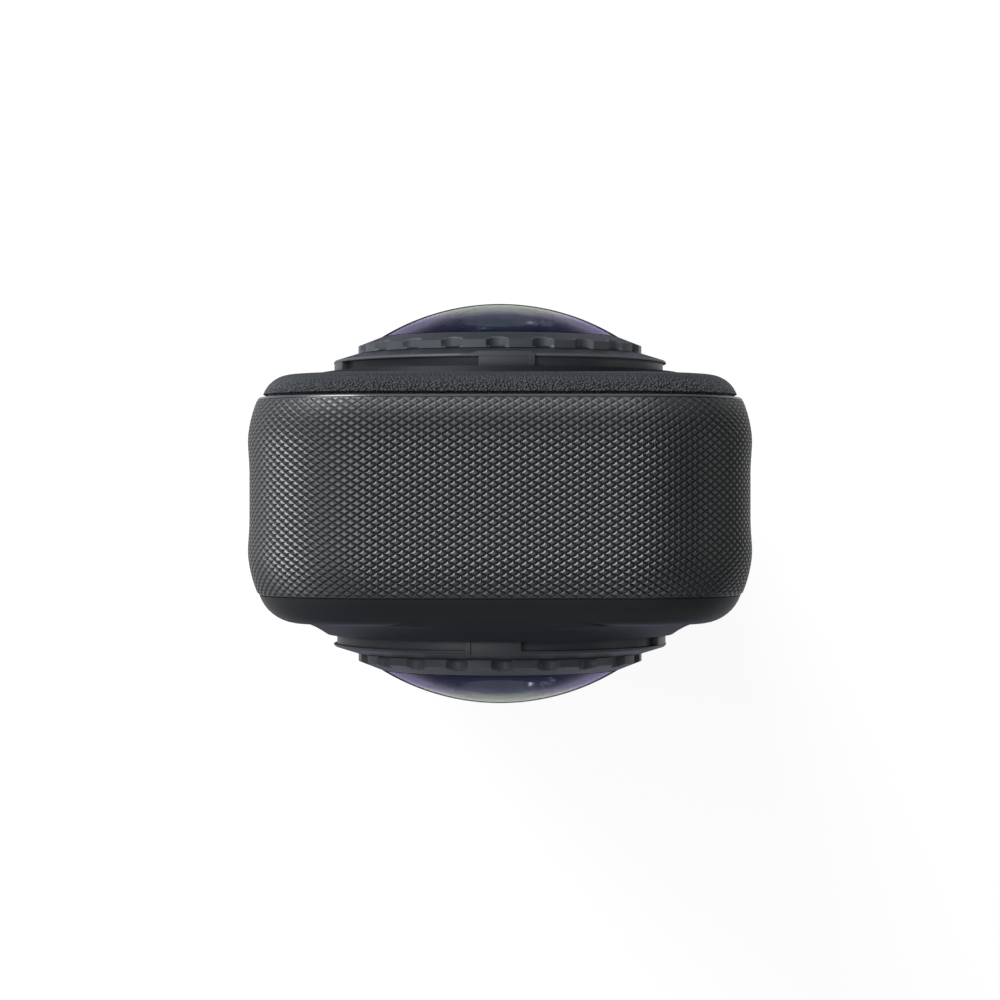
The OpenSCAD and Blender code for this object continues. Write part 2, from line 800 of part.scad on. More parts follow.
module pedestal() {
    flare_h = seat_y - rear_face;
    flare_run = flare_r - pedestal_r;
    flare_arc = (flare_h * flare_h + flare_run * flare_run) / (2 * flare_h);
    intersection() {
        lens_at(180) rotate_extrude() difference() {
            translate([spigot_r + fit_gap, -rear_in])
                square([flare_r - spigot_r - fit_gap, seat_y + rear_in]);
            translate([flare_r, rear_face + flare_arc]) circle(flare_arc);
        }
        pillow() mirror([0, 1]) flare_section();
    }
}

module rear_cover() {
    color(shell_black) difference() {
        union() {
            intersection() {
                pillow() mirror([0, 1]) difference() {
                    cover_section(rear_seam, rear_face, rear_edge_r, edge_drop + rear_edge_step);
                    ring_section(frame_in, reach, 0, -rear_in);
                }
                above(0);
            }
            lip(rear_in - bite, lip_depth - rear_seam);
            pedestal();
        }
        pin_along_y(0, lens_z, cover_hole_r, -rear_face, 0);
        pin_along_y(0, lens_z, spigot_r + fit_gap, -seat_y - bite, 0);
        along_y(-rear_face - bite, display_rear) translate([0, screen_mid])
            rounded_rect(screen_w + 2 * fit_gap, screen_h + 2 * fit_gap, screen_r + fit_gap);
        along_y(-rear_face, 0) translate([0, screen_mid])
            rounded_rect(screen_w - 2 * ledge_w, screen_h - 2 * ledge_w, screen_r);
        for (side = [-1, 1]) pin_along_y(side * button_x, button_z, button_r + door_gap, -reach, 0);
        carrier_screw_places() pin_along_y(0, 0, carrier_screw_r, rear_in - cover_t / 2, 0);
    }
}

// Lens modules. A module's own axis runs outwards from the middle plane between the lenses.

module lens_at(turn) {
    translate([0, 0, lens_z]) rotate([0, 0, turn]) rotate([-90, 0, 0]) children();
}

module lens_flange(turn, foot_y) {
    inner_r = thread_r + run_gap;
    color(shell_black) lens_at(turn) {
        rotate_extrude() polygon([
            [spigot_r - spigot_t, foot_y], [spigot_r, foot_y], [spigot_r, seat_y], [neck_r, seat_y],
            [neck_r, blade_y], [blade_r, blade_y], [blade_r, blade_y + blade_rim],
            [blade_top_r, blade_top_y], [inner_r, blade_top_y], [inner_r, seat_y],
            [spigot_r - spigot_t, seat_y]
        ]);
        for (i = [0 : len(lug_angles) - 1])
            rotate([0, 0, lug_angles[i] - lug_widths[i] / 2 - 90]) rotate_extrude(angle = lug_widths[i])
                translate([neck_r - bite, seat_y])
                square([blade_r - neck_r + bite - hair_gap, neck_h + blade_rim / 2]);
    }
}

module lens_gasket(turn, y0, y1) {
    color(rubber_grey) lens_at(turn) rotate_extrude()
        translate([spigot_r + hair_gap, y0]) square([lens_gasket_w - 2 * hair_gap, y1 - y0]);
}

module lens_barrel(turn, foot_y) {
    cup_r = second_r + fit_gap;
    well_r = third_r + fit_gap;
    tail_r = fourth_r + fit_gap;
    color(shell_black) lens_at(turn) rotate_extrude() polygon([
        [tail_r, barrel_y], [barrel_r, barrel_y], [barrel_r, foot_y], [collar_r, foot_y],
        [collar_r, foot_y + collar_t], [nose_r, foot_y + collar_t], [nose_r, nose_y],
        [cup_r + nose_lip_t, nose_y + nose_lip_h], [cup_r, nose_y + nose_lip_h], [cup_r, nose_y],
        [well_r, nose_y], [well_r, third_y], [tail_r, third_y]
    ]);
}

// Slice of a ball with a hollow back, standing on its own seat
module lens_element(r, seat, curve_r, height, thick) {
    rotate_extrude() intersection() {
        difference() {
            translate([0, seat + height - curve_r]) circle(curve_r);
            translate([0, seat + height - curve_r - thick]) circle(curve_r);
        }
        translate([0, seat]) square([r, height]);
    }
}

module lens_group(turn) {
    color(glass_blue) lens_at(turn) {
        lens_element(second_r, second_y, second_curve_r, second_h, second_t);
        translate([0, 0, third_y + hair_gap]) cylinder(r = third_r, h = element_t);
        translate([0, 0, barrel_y + fit_gap]) cylinder(r = fourth_r, h = element_t);
    }
}

module sensor(turn) {
    color(board_green) lens_at(turn) {
        translate([0, 0, sensor_y + sensor_board_t / 2])
            cube([sensor_board, sensor_board, sensor_board_t], center = true);
        translate([0, 0, sensor_y + sensor_board_t + sensor_t / 2])
            cube([sensor_side, sensor_side, sensor_t], center = true);
    }
}

module lens_ring(turn) {
    step_y = dome_seat_y - hair_gap;
    color(shell_black) lens_at(turn) difference() {
        rotate_extrude() polygon([
            [thread_r - thread_t, ring_y - thread_len + fit_gap], [thread_r, ring_y - thread_len + fit_gap],
            [thread_r, ring_y], [ring_r, ring_y], [ring_r, ring_wall_y], [glass_r + hair_gap, ring_top_y],
            [glass_r, ring_top_y], [glass_r, step_y], [thread_r - thread_t - bite, step_y],
            [thread_r - thread_t - bite, ring_y], [thread_r - thread_t, ring_y]
        ]);
        for (i = [0 : notch_count - 1]) rotate([0, 0, i * 360 / notch_count + notch_turn - 90])
            translate([ring_r - notch_d + notch_r, 0, ring_y + fit_gap])
                cylinder(r = notch_r, h = ring_top_y);
    }
}

module dome(turn) {
    color(glass_blue) lens_at(turn) rotate_extrude() intersection() {
        difference() {
            translate([0, dome_y]) circle(dome_r);
            translate([0, dome_y]) circle(dome_r - dome_t);
        }
        translate([0, ring_y]) square([dome_edge_r, dome_r]);
    }
}

module carrier_screw_places() {
    for (side = [-1, 1], z = carrier_screw_zs)
        translate([side * carrier_screw_x, 0, z]) children();
}

module lens_carrier() {
    color(metal_grey) difference() {
        intersection() {
            pillow() ring_section(carrier_in, reach, -carrier_rear, carrier_front);
            above(carrier_z);
        }
        pin_along_y(0, lens_z, bore_r, sensor_y, reach);
        pin_along_y(0, lens_z, bore_r, -reach, -sensor_y);
        carrier_screw_places() {
            pin_along_y(0, 0, carrier_screw_r + fit_gap, -reach, reach);
            pin_along_y(0, 0, carrier_head_r + fit_gap, carrier_front - carrier_head_r, reach);
        }
    }
}

module carrier_screws() {
    head_y = carrier_front - carrier_head_r;
    color(metal_grey) carrier_screw_places() {
        pin_along_y(0, 0, carrier_screw_r, rear_in - cover_t / 2, head_y);
        pin_along_y(0, 0, carrier_head_r, head_y, carrier_front - fit_gap);
    }
}

module front_trim_ring() {
    color(shell_black) lens_at(0) rotate_extrude() polygon([
        [spigot_r + fit_gap, front_face], [trim_r, front_face],
        [trim_r - (seat_y - front_face) / 2, seat_y], [spigot_r + fit_gap, seat_y]
    ]);
}

module front_lens_flange() {
    lens_flange(0, carrier_front);
}

module front_lens_gasket() {
    lens_gasket(0, front_in, front_face);
}

module front_lens_barrel() {
    lens_barrel(0, carrier_front);
}

module front_lens_group() {
    lens_group(0);
}

module front_sensor() {
    sensor(0);
}

module front_lens_ring() {
    lens_ring(0);
}

module front_dome() {
    dome(0);
}

module rear_lens_flange() {
    lens_flange(180, carrier_rear);
}

module rear_lens_gasket() {
    lens_gasket(180, -rear_in, rear_face);
}

module rear_lens_barrel() {
    lens_barrel(180, carrier_rear);
}

module rear_lens_group() {
    lens_group(180);
}

module rear_sensor() {
    sensor(180);
}

module rear_lens_ring() {
    lens_ring(180);
}

module rear_dome() {
    dome(180);
}

// Screen, rear buttons and boards

module screen_glass() {
    color(shell_black) along_y(-rear_face, display_rear) translate([0, screen_mid])
        rounded_rect(screen_w, screen_h, screen_r);
}

module display_panel() {
    margin = ledge_w + fit_gap;
    color(shell_black) along_y(display_rear, display_front) translate([0, screen_mid])
        rounded_rect(screen_w - 2 * margin, screen_h - 2 * margin, screen_r - fit_gap);
}

module rear_button(side) {
    x = side * button_x;
    pin_along_y(x, button_z, button_r, -rear_face - button_proud, button_rim_y);
    pin_along_y(x, button_z, button_r + 2 * button_rim, button_rim_y, button_rim_y + button_rim);
    pin_along_y(x, button_z, stem_r, button_rim_y + button_rim, button_end_y);
}

module shutter_button() {
    color(band_grey) rear_button(-1);
}

module mode_button() {
    color(band_grey) rear_button(1);
}

module rear_switches() {
    side = 2 * stem_r;
    color(metal_grey) for (sx = [-1, 1])
        block(sx * button_x - side / 2, sx * button_x + side / 2, switch_y, board_rear,
            button_z - side / 2, button_z + side / 2);
}

module board_screw_places() {
    for (sx = [-1, 1], z = [bay_z + 2 * bay_t + board_screw_r, bay_top - 2 * bay_t - board_screw_r])
        translate([sx * board_screw_x, 0, z]) children();
}

module main_board() {
    color(board_green) difference() {
        block(-board_x, board_x, board_rear, board_front, cavity_floor + seat_gap, card_top);
        board_screw_places() pin_along_y(0, 0, board_screw_r + fit_gap, -reach, reach);
    }
}

module board_screws() {
    color(metal_grey) board_screw_places() {
        pin_along_y(0, 0, 2 * board_screw_r, board_rear - board_screw_r, board_rear);
        pin_along_y(0, 0, board_screw_r, board_rear, bay_rear + bay_t / 2);
    }
}

module processor_shield() {
    mid = (bay_z + bay_top) / 2;
    color(metal_grey) block(-shield_side / 2, shield_side / 2, board_front, board_front + shield_t,
        mid - shield_side / 2, mid + shield_side / 2);
}

module heat_spreader() {
    color("peru") block(-bay_end, bay_end, bay_front, bay_front + spreader_t, bay_z, bay_top);
}

module antenna() {
    color("goldenrod") block(-shield_side / 2, shield_side / 2, front_in - antenna_t, front_in,
        bay_z, light_z - 2 * light_r);
}

// Side buttons

module side_button(z) {
    rim = button_rim + door_gap;
    intersection() {
        pillow() band_section(side_button_sunk);
        along_x(side_rim_x, half_w + bite) translate([band_mid, z]) pill(side_button_w, side_button_len);
    }
    along_x(side_rim_x - button_rim, side_rim_x) translate([band_mid, z])
        pill(side_button_w + 2 * rim, side_button_len + 2 * rim);
    translate([side_end_x, band_mid, z]) rotate([0, 90, 0])
        cylinder(r = stem_r, h = button_rim);
}

module power_button() {
    color(band_grey) side_button(power_z);
}

module quick_button() {
    color(band_grey) side_button(quick_z);
}

module side_switch_board() {
    side = side_button_w;
    color(board_green) {
        block(side_board_x - side_board_t, side_board_x, band_mid - side, band_mid + side,
            side_board_z, side_board_top);
        for (z = [power_z, quick_z])
            block(side_board_x, side_switch_x, band_mid - side / 2, band_mid + side / 2,
                z - side / 2, z + side / 2);
    }
}

// USB door and port

module usb_door() {
    color(band_grey) difference() {
        intersection() {
            pillow() band_section(0);
            usb_window(door_gap, half_w - 2 * knuckle_r - bite, half_w + bite);
            union() {
                block(half_w - usb_t, half_w + bite, -reach, reach, pin_z, usb_top);
                pin_along_y(pin_x, pin_z, knuckle_r, -reach, reach);
            }
        }
        pin_along_y(pin_x, pin_z, pin_r + run_gap, -reach, reach);
    }
}

module usb_door_seal() {
    x = half_w - usb_t;
    w = port_t + 2 * port_wall;
    color(rubber_grey) along_x(cavity_x + door_gap, x)
        translate([band_mid, usb_mid + knuckle_r]) rounded_rect(w, port_w - knuckle_r, knuckle_r / 2);
}

module usb_hinge_pin() {
    color(metal_grey) pin_along_y(pin_x, pin_z, pin_r, pin_y0, pin_y1);
}

module usb_port() {
    corner_r = port_t / 2 - hair_gap;
    color(metal_grey) {
        difference() {
            along_x(port_x - port_len, port_x) translate([band_mid, usb_mid])
                rounded_rect(port_t, port_w, corner_r);
            along_x(port_x - port_len + port_wall, port_x + bite) translate([band_mid, usb_mid])
                rounded_rect(port_t - 2 * port_wall, port_w - 2 * port_wall, corner_r - port_wall);
        }
        along_x(port_x - port_len, port_x - 2 * port_wall) translate([band_mid, usb_mid])
            square([2 * port_wall, port_w - port_t], center = true);
    }
}

module usb_board() {
    end_x = port_x - port_wall;
    color(board_green) block(end_x - usb_board_len, end_x, port_y - board_t, port_y,
        cavity_floor, usb_top - seat_gap);
}

// Battery

module battery_pack() {
    color(shell_black) along_x(door_x, pack_end) translate([pack_mid, pack_z + pack_h / 2])
        rounded_rect(pack_t, pack_h, pack_r);
}

module seal_ring(outer, inner) {
    x0 = door_x - seal_inset - seal_w;
    difference() {
        battery_window(outer, x0, x0 + seal_w);
        battery_window(inner, x0 - bite, x0 + seal_w + bite);
    }
}

module battery_door() {
    hold = latch_foot_w + 2 * door_gap;
    open = latch_w + 2 * door_gap;
    z0 = latch_z - door_gap;
    z1 = latch_z + latch_len + latch_travel + door_gap;
    color(band_grey) difference() {
        intersection() {
            pillow() band_section(0);
            battery_window(door_gap, -half_w - bite, door_x);
        }
        seal_ring(0, door_gap + seal_d);
        block(-half_w - bite, latch_foot_x, pack_mid - open / 2, pack_mid + open / 2, z0, z1);
        block(latch_foot_x - door_gap, latch_foot_x + latch_foot + door_gap,
            pack_mid - hold / 2, pack_mid + hold / 2, z0, z1);
    }
}

module battery_seal() {
    color(rubber_grey) seal_ring(door_gap / 2, door_gap + seal_d);
}

module battery_latch() {
    color(shell_black) {
        intersection() {
            pillow() band_section(side_button_sunk);
            block(-half_w - bite, latch_foot_x, pack_mid - latch_w / 2, pack_mid + latch_w / 2,
                latch_z, latch_z + latch_len);
        }
        block(latch_foot_x, latch_foot_x + latch_foot, pack_mid - latch_foot_w / 2,
            pack_mid + latch_foot_w / 2, latch_z, latch_z + latch_len);
    }
}

module battery_bay() {
    color(shell_black) {
        difference() {
            block(-cavity_x, bay_end, bay_rear, bay_front, bay_z, bay_top);
            block(-cavity_x - bite, bay_end_in, bay_rear + bay_t, bay_front - bay_t,
                bay_z + bay_t, bay_top - bay_t);
            board_screw_places() pin_along_y(0, 0, board_screw_r, -reach, bay_rear + bay_t / 2);
        }
        difference() {
            board_screw_places() pin_along_y(0, 0, 2 * board_screw_r, board_front, bay_rear);
            board_screw_places() pin_along_y(0, 0, board_screw_r, -reach, reach);
        }
        for (z = [power_z, quick_z]) along_x(bay_end, side_board_x - side_board_t)
            translate([band_mid, z]) circle(2 * board_screw_r);
    }
}

module battery_contacts() {
    first_z = pack_z + pack_h / 4 - (contact_count - 1) / 2 * contact_pitch;
    color("gold") for (i = [0 : contact_count - 1])
        translate([0, pack_mid, first_z + i * contact_pitch])
            block(pack_end + hair_gap, bay_end_in, -contact_w, contact_w, -contact_w / 2, contact_w / 2);
}

module card_socket() {
    slot_h = card_h / 2;
    color(metal_grey) difference() {
        block(-cavity_x + fit_gap, -cavity_x + pack_w / 2, pack_rear, pack_front, bay_top, card_top);
        block(-cavity_x, -cavity_x + pack_w / 2 - card_h, pack_rear + slot_h, pack_front - slot_h,
            bay_top + slot_h / 2, card_top - slot_h / 2);
    }
}

// Sound and light

module speaker() {
    color(shell_black) block(-speaker_x - speaker_w / 2, -speaker_x + speaker_w / 2,
        front_in - door_gap - speaker_t, front_in - door_gap,
        speaker_z - speaker_h / 2, speaker_z + speaker_h / 2);
}

module microphones() {
    color(metal_grey) for (side = [-1, 1])
        pin_along_y(side * mesh_w / 4, mesh_z, mic_r, front_in - mic_r, front_in - hair_gap);
}

module mic_mesh() {
    color(metal_grey) along_y(front_face - mesh_t - fit_gap, front_face - fit_gap)
        translate([0, mesh_z]) rotate(90) pill(mesh_h, mesh_w);
}

module status_light() {
    color("white") pin_along_y(0, light_z, light_r, front_in, front_face - hair_gap);
}

base_cap();
base_plate();
base_screws();
tripod_insert();
mid_frame();
grip_band();
front_cover();
rear_cover();
front_trim_ring();
front_gasket();
rear_gasket();
lens_carrier();
carrier_screws();
front_lens_flange();
front_lens_gasket();
front_lens_barrel();
front_lens_group();
front_sensor();
front_lens_ring();
front_dome();
rear_lens_flange();
rear_lens_gasket();
rear_lens_barrel();
rear_lens_group();
rear_sensor();
rear_lens_ring();
rear_dome();
screen_glass();
display_panel();
main_board();
board_screws();
processor_shield();
heat_spreader();
antenna();
shutter_button();
mode_button();
rear_switches();
power_button();
quick_button();
side_switch_board();
usb_door();
usb_door_seal();
usb_hinge_pin();
usb_port();
usb_board();
battery_pack();
battery_door();
battery_seal();
battery_latch();
battery_bay();
battery_contacts();
card_socket();
speaker();
microphones();
mic_mesh();
status_light();
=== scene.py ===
import json
import math

import bmesh
import bpy
from mathutils import Matrix, Vector

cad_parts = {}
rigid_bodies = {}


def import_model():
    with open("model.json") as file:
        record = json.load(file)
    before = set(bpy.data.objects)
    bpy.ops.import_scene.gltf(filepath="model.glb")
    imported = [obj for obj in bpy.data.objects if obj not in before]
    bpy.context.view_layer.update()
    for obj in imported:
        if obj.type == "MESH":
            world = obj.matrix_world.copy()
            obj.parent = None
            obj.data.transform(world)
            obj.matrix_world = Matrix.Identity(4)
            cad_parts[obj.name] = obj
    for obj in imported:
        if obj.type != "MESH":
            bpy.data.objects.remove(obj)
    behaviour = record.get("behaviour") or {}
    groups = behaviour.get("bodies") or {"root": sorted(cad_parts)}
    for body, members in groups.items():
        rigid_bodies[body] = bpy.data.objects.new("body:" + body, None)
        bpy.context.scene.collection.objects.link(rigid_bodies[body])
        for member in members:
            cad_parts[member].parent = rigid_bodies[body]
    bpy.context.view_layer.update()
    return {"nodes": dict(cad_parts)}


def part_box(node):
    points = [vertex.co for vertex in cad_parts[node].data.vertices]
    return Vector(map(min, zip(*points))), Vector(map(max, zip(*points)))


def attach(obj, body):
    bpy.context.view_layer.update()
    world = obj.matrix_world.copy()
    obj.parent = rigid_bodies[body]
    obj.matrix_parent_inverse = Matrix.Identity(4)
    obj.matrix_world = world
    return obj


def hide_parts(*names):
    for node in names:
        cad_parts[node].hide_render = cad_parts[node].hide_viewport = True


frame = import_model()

nodes = frame["nodes"]
scene = bpy.context.scene
mm = 0.001

body = {  # the outline that the band follows, in millimetres
    "halfWidth": 23.0,
    "height": 124.5,
    "corner": 12.0,
    "frontSeam": 9.7,
    "rearSeam": 8.35,
    "edgeRun": 4.65,
    "edgeDrop": 1.0,
    "bandFoot": 6.0,
    "lensHeight": 102.0,
}
lensUp = body["lensHeight"] * mm


def plug(tree, socket, value):
    if isinstance(value, Wire):
        tree.links.new(value.socket, socket)
    else:
        socket.default_value = value


def calc(tree, operation, *values):
    node = tree.nodes.new("ShaderNodeMath")
    node.operation = operation
    for socket, value in zip(node.inputs, values):
        plug(tree, socket, value)
    return Wire(tree, node.outputs[0])


def operator(operation, swapped=False):
    def method(self, other):
        return calc(self.tree, operation, *((other, self) if swapped else (self, other)))
    return method


class Wire:
    # one socket of a shader tree, so that sums of values read as sums
    def __init__(self, tree, socket):
        self.tree = tree
        self.socket = socket

    __add__, __radd__ = operator("ADD"), operator("ADD", True)
    __sub__, __rsub__ = operator("SUBTRACT"), operator("SUBTRACT", True)
    __mul__, __rmul__ = operator("MULTIPLY"), operator("MULTIPLY", True)
    __truediv__, __pow__ = operator("DIVIDE"), operator("POWER")


class Finish:
    # one material: constants go on its shader, and add makes any other node
    def __init__(self, name, **constants):
        self.material = bpy.data.materials.new(name)
        self.material.use_nodes = True
        self.tree = self.material.node_tree
        self.shader = self.tree.nodes["Principled BSDF"]
        self.place = self.add("ShaderNodeTexCoord", {}, {}, "Object")
        self.feed(**constants)

    def add(self, kind, settings, values, output=0):
        node = self.tree.nodes.new(kind)
        for label, value in settings.items():
            setattr(node, label, value)
        for label, value in values.items():
            plug(self.tree, node.inputs[label], value)
        return Wire(self.tree, node.outputs[output])

    def feed(self, **values):
        for label, value in values.items():
            plug(self.tree, self.shader.inputs[label.replace("_", " ")], value)
        return self.material

    def axes(self):
        node = self.tree.nodes.new("ShaderNodeSeparateXYZ")
        plug(self.tree, node.inputs[0], self.place)
        return [Wire(self.tree, socket) for socket in node.outputs]

    def fromLens(self):
        # distance from the lens axis, and place along it
        x, y, z = self.axes()
        up = z - lensUp
        return (x * x + up * up) ** 0.5, y

    def blend(self, factor, second, first=None):
        # from the first shader, or else the plain one, to the second
        first = first or Wire(self.tree, self.shader.outputs[0])
        mixed = self.add("ShaderNodeMixShader", {}, {0: factor, 1: first, 2: second})
        plug(self.tree, self.tree.nodes["Material Output"].inputs["Surface"], mixed)
        return mixed

    def noise(self, grain, detail=3.0, vector=None, rough=0.55):
        # grain is the size of one blot in millimetres
        return self.add("ShaderNodeTexNoise", {}, {
            "Vector": vector or self.place, "Scale": 1 / (grain * mm), "Detail": detail, "Roughness": rough,
        })

    def ramp(self, value, *stops):
        wire = self.add("ShaderNodeValToRGB", {}, {0: value})
        elements = wire.socket.node.color_ramp.elements
        while len(elements) < len(stops):
            elements.new(1.0)
        for element, (place, shade) in zip(elements, stops):
            element.position = place
            element.color = (shade, shade, shade, 1.0)
        return wire

    def shade(self, factor, dark, light):
        return self.add("ShaderNodeMix", {"data_type": "RGBA"}, {0: factor, 6: (*dark, 1.0), 7: (*light, 1.0)}, 2)

    def bump(self, height, depth):
        # depth in millimetres for a height that runs from 0 to 1
        return self.add("ShaderNodeBump", {}, {"Height": height, "Distance": depth * mm, "Strength": 1.0})


def greyed(value, tint=(0.88, 1.0, 1.14)):
    return tuple(value * part for part in tint)


def satin(name, dark, light, rough, grain=0.25, depth=0.004, spread=0.06, specular=0.25):
    # moulded plastic or painted metal: fine spark-eroded grain, blotches in colour and gloss
    finish = Finish(name, Specular_IOR_Level=specular)
    blot = finish.noise(9.0, 4.0)
    fine = finish.noise(grain, 2.0)
    return finish.feed(
        Base_Color=finish.shade(blot * 0.6 + fine * 0.4, greyed(dark), greyed(light)),
        Roughness=rough - spread / 2 + spread * blot,
        Normal=finish.bump(fine, depth),
    )


def knurlFinish():
    finish = Finish("knurlSatin", Specular_IOR_Level=0.39)
    tip = finish.add("ShaderNodeAttribute", {"attribute_name": "tip"}, {}, "Fac")
    blot = finish.noise(7.0, 3.0)
    fine = finish.noise(0.12, 2.0)
    # tip is 0 in the grooves and 1 on the flats: painted shade darkens the grooves, and the worn flats are lighter
    # and glossier
    wornFlatsShadedGrooves = finish.ramp(tip + 0.12 * fine, (0.0, 0.0), (0.25, 0.35), (0.9, 0.75), (1.0, 1.0))
    polish = calc(finish.tree, "MAXIMUM", tip - 1.0, 0.0)  # the plain lip is above 1
    return finish.feed(
        # darkest in the grooves: painted shade
        Base_Color=finish.shade(wornFlatsShadedGrooves * (0.8 + 0.4 * blot), greyed(0.0012), greyed(0.017)),
        Roughness=0.44 - 0.1 * wornFlatsShadedGrooves + 0.06 * fine - 0.2 * polish,
        Normal=finish.bump(fine, 0.002),
    )


leather = {  # in millimetres, and per millimetre
    "cells": 4.4,
    "warpCells": 3.0,
    "warp": 0.12,
    "relief": 0.4,
    "plainRim": 17.2,  # radius of the smooth rim round the lens
    "rimSlope": 0.7,
    "rubbedShadedFrom": 10.6,  # depth at which the edge starts to be rubbed smooth and painted darker, as shade
    "rubbedShadedSlope": 0.9,
}


def leatherFinish():
    finish = Finish("leatherGrain", Specular_IOR_Level=0.1)
    ring, y = finish.fromLens()
    warp = finish.add("ShaderNodeTexNoise", {}, {
        "Vector": finish.place, "Scale": leather["warpCells"] / mm, "Detail": 1.0,
    }, 1)
    bent = finish.add("ShaderNodeVectorMath", {"operation": "MULTIPLY_ADD"}, {
        0: warp, 1: (leather["warp"] * mm,) * 3, 2: finish.place,
    })
    cell = finish.add("ShaderNodeTexVoronoi", {"feature": "F1"}, {"Vector": bent, "Scale": leather["cells"] / mm})
    pores = finish.noise(0.12, 2.0)
    # the grain fades out on the rim round the lens, and is rubbed smooth where the edge turns into the face; there
    # the colour is also painted darker, as shade
    overEdge = (y - leather["rubbedShadedFrom"] * mm) * (leather["rubbedShadedSlope"] / mm)
    rubbedAndShaded = finish.ramp(overEdge, (0.0, 1.0), (0.6, 0.2), (0.93, 0.2), (1.0, 1.0))
    pastRim = (ring - leather["plainRim"] * mm) * (leather["rimSlope"] / mm)
    grainy = finish.ramp(pastRim, (0.0, 0.0), (1.0, 1.0)) * rubbedAndShaded
    height = (finish.ramp(cell, (0.1, 1.0), (0.45, 0.55), (0.8, 0.0)) * 0.8 + pores * 0.2 - 0.5) * grainy + 0.5
    blot = finish.noise(8.0, 3.0)
    return finish.feed(
        # the band where the edge turns into the face is painted darker: painted shade
        Base_Color=finish.shade(height * (0.12 + 0.86 * rubbedAndShaded) + blot * 0.12, greyed(0.0005), greyed(0.054)),
        Roughness=0.5 - 0.2 * height * rubbedAndShaded + 0.08 * blot,
        Normal=finish.bump(height, leather["relief"]),
    )


def turnedFinish(name, dark, light, rough, pitch=0.09, depth=0.003, specular=0.35):
    # lathe-turned and anodised: fine rings about the lens axis
    finish = Finish(name, Specular_IOR_Level=specular)
    ring, y = finish.fromLens()
    line = calc(finish.tree, "SINE", (ring + y) * (2 * math.pi / (pitch * mm)))
    blot = finish.noise(4.0, 4.0)
    fine = finish.noise(0.2, 2.0)
    return finish.feed(
        Base_Color=finish.shade(blot * 0.5 + fine * 0.5, greyed(dark), greyed(light)),
        Roughness=rough + 0.1 * (blot - 0.5),
        Normal=finish.bump(line * 0.5 + fine, depth),
    )


def glassFinish(name, tint, film, edgeFilm, reach, ior=1.52, filmIor=1.38):
    # coated glass: the film on it, in nanometres, thickens towards the edge, so the sheen changes there
    finish = Finish(name, IOR=ior, Transmission_Weight=1.0, Thin_Film_Thickness=film, Thin_Film_IOR=filmIor)
    ring = finish.fromLens()[0]
    smear = finish.noise(6.0, 3.0)
    colour = finish.shade(smear, tint, tuple(min(1.0, part * 1.04) for part in tint))
    gloss = 0.004 + 0.012 * smear
    finish.feed(Base_Color=colour, Roughness=gloss)
    edge = finish.add("ShaderNodeBsdfPrincipled", {}, {
        "IOR": ior, "Transmission Weight": 1.0, "Thin Film Thickness": edgeFilm, "Thin Film IOR": filmIor,
        "Base Color": colour, "Roughness": gloss,
    })
    finish.blend(finish.ramp(ring / (reach * mm), (0.45, 0.0), (0.9, 1.0)), edge)
    return finish.material


def brushedFinish(name, dark, light, rough, along=(1.0, 1.0, 1.0), metal=1.0):
    # brushed metal: noise drawn out along one axis
    finish = Finish(name)
    drawn = finish.add("ShaderNodeVectorMath", {"operation": "MULTIPLY"}, {0: finish.place, 1: along})
    line = finish.noise(0.25, 3.0, drawn)
    blot = finish.noise(5.0, 3.0)
    return finish.feed(
        Base_Color=finish.shade(line * 0.6 + blot * 0.4, dark, light),
        Metallic=metal - 0.1 * blot,
        Roughness=rough + 0.15 * line,
        Normal=finish.bump(line, 0.006),
    )


def boardFinish():
    # solder mask with a faint pattern of tracks
    finish = Finish("solderMask", Specular_IOR_Level=0.5)
    track = finish.add("ShaderNodeTexBrick", {}, {"Vector": finish.place, "Scale": 260.0, "Mortar Size": 0.03}, 1)
    fine = finish.noise(0.4, 2.0)
    return finish.feed(
        Base_Color=finish.shade(track * 0.7 + fine * 0.3, (0.012, 0.06, 0.035), (0.03, 0.13, 0.075)),
        Roughness=0.38 + 0.1 * fine,
        Normal=finish.bump(track, 0.02),
    )


screen = {"sideBorder": 1.2, "endBorder": 2.5}  # black frame inside the display's edge, in millimetres


def screenFinish():
    # cover glass over a dark display, a shade lighter where the panel lies
    finish = Finish("screenGlass", Specular_IOR_Level=0.5, Coat_Roughness=0.03)
    lowest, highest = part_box("display_panel")
    x, y, z = finish.axes()
    middle, halfHeight = (lowest.z + highest.z) / 2, (highest.z - lowest.z) / 2
    aside = calc(finish.tree, "ABSOLUTE", x) / (highest.x - screen["sideBorder"] * mm)
    upDown = calc(finish.tree, "ABSOLUTE", z - middle) / (halfHeight - screen["endBorder"] * mm)
    panel = finish.ramp(calc(finish.tree, "MAXIMUM", aside, upDown), (0.985, 1.0), (0.995, 0.0))
    smear = finish.noise(14.0, 4.0)
    return finish.feed(
        Base_Color=finish.shade(panel, (0.003, 0.003, 0.0035), (0.010, 0.011, 0.013)),
        Roughness=0.05 + 0.12 * finish.ramp(smear, (0.5, 0.0), (0.75, 1.0)),
        Coat_Weight=0.5 + 0.2 * smear,
    )


def meshFinish():
    # woven acoustic mesh
    pitch = 0.3
    finish = Finish("acousticMesh")
    x, y, z = finish.axes()
    wave = 2 * math.pi / (pitch * mm)
    weave = calc(finish.tree, "SINE", (x + z) * wave) * calc(finish.tree, "SINE", (x - z) * wave)
    thread = finish.ramp(weave * 0.5 + 0.5, (0.42, 0.0), (0.58, 1.0))
    return finish.feed(
        Base_Color=finish.shade(thread, (0.003, 0.003, 0.003), (0.06, 0.06, 0.063)),
        Roughness=0.6 - 0.2 * thread,
        Normal=finish.bump(thread, 0.06),
    )


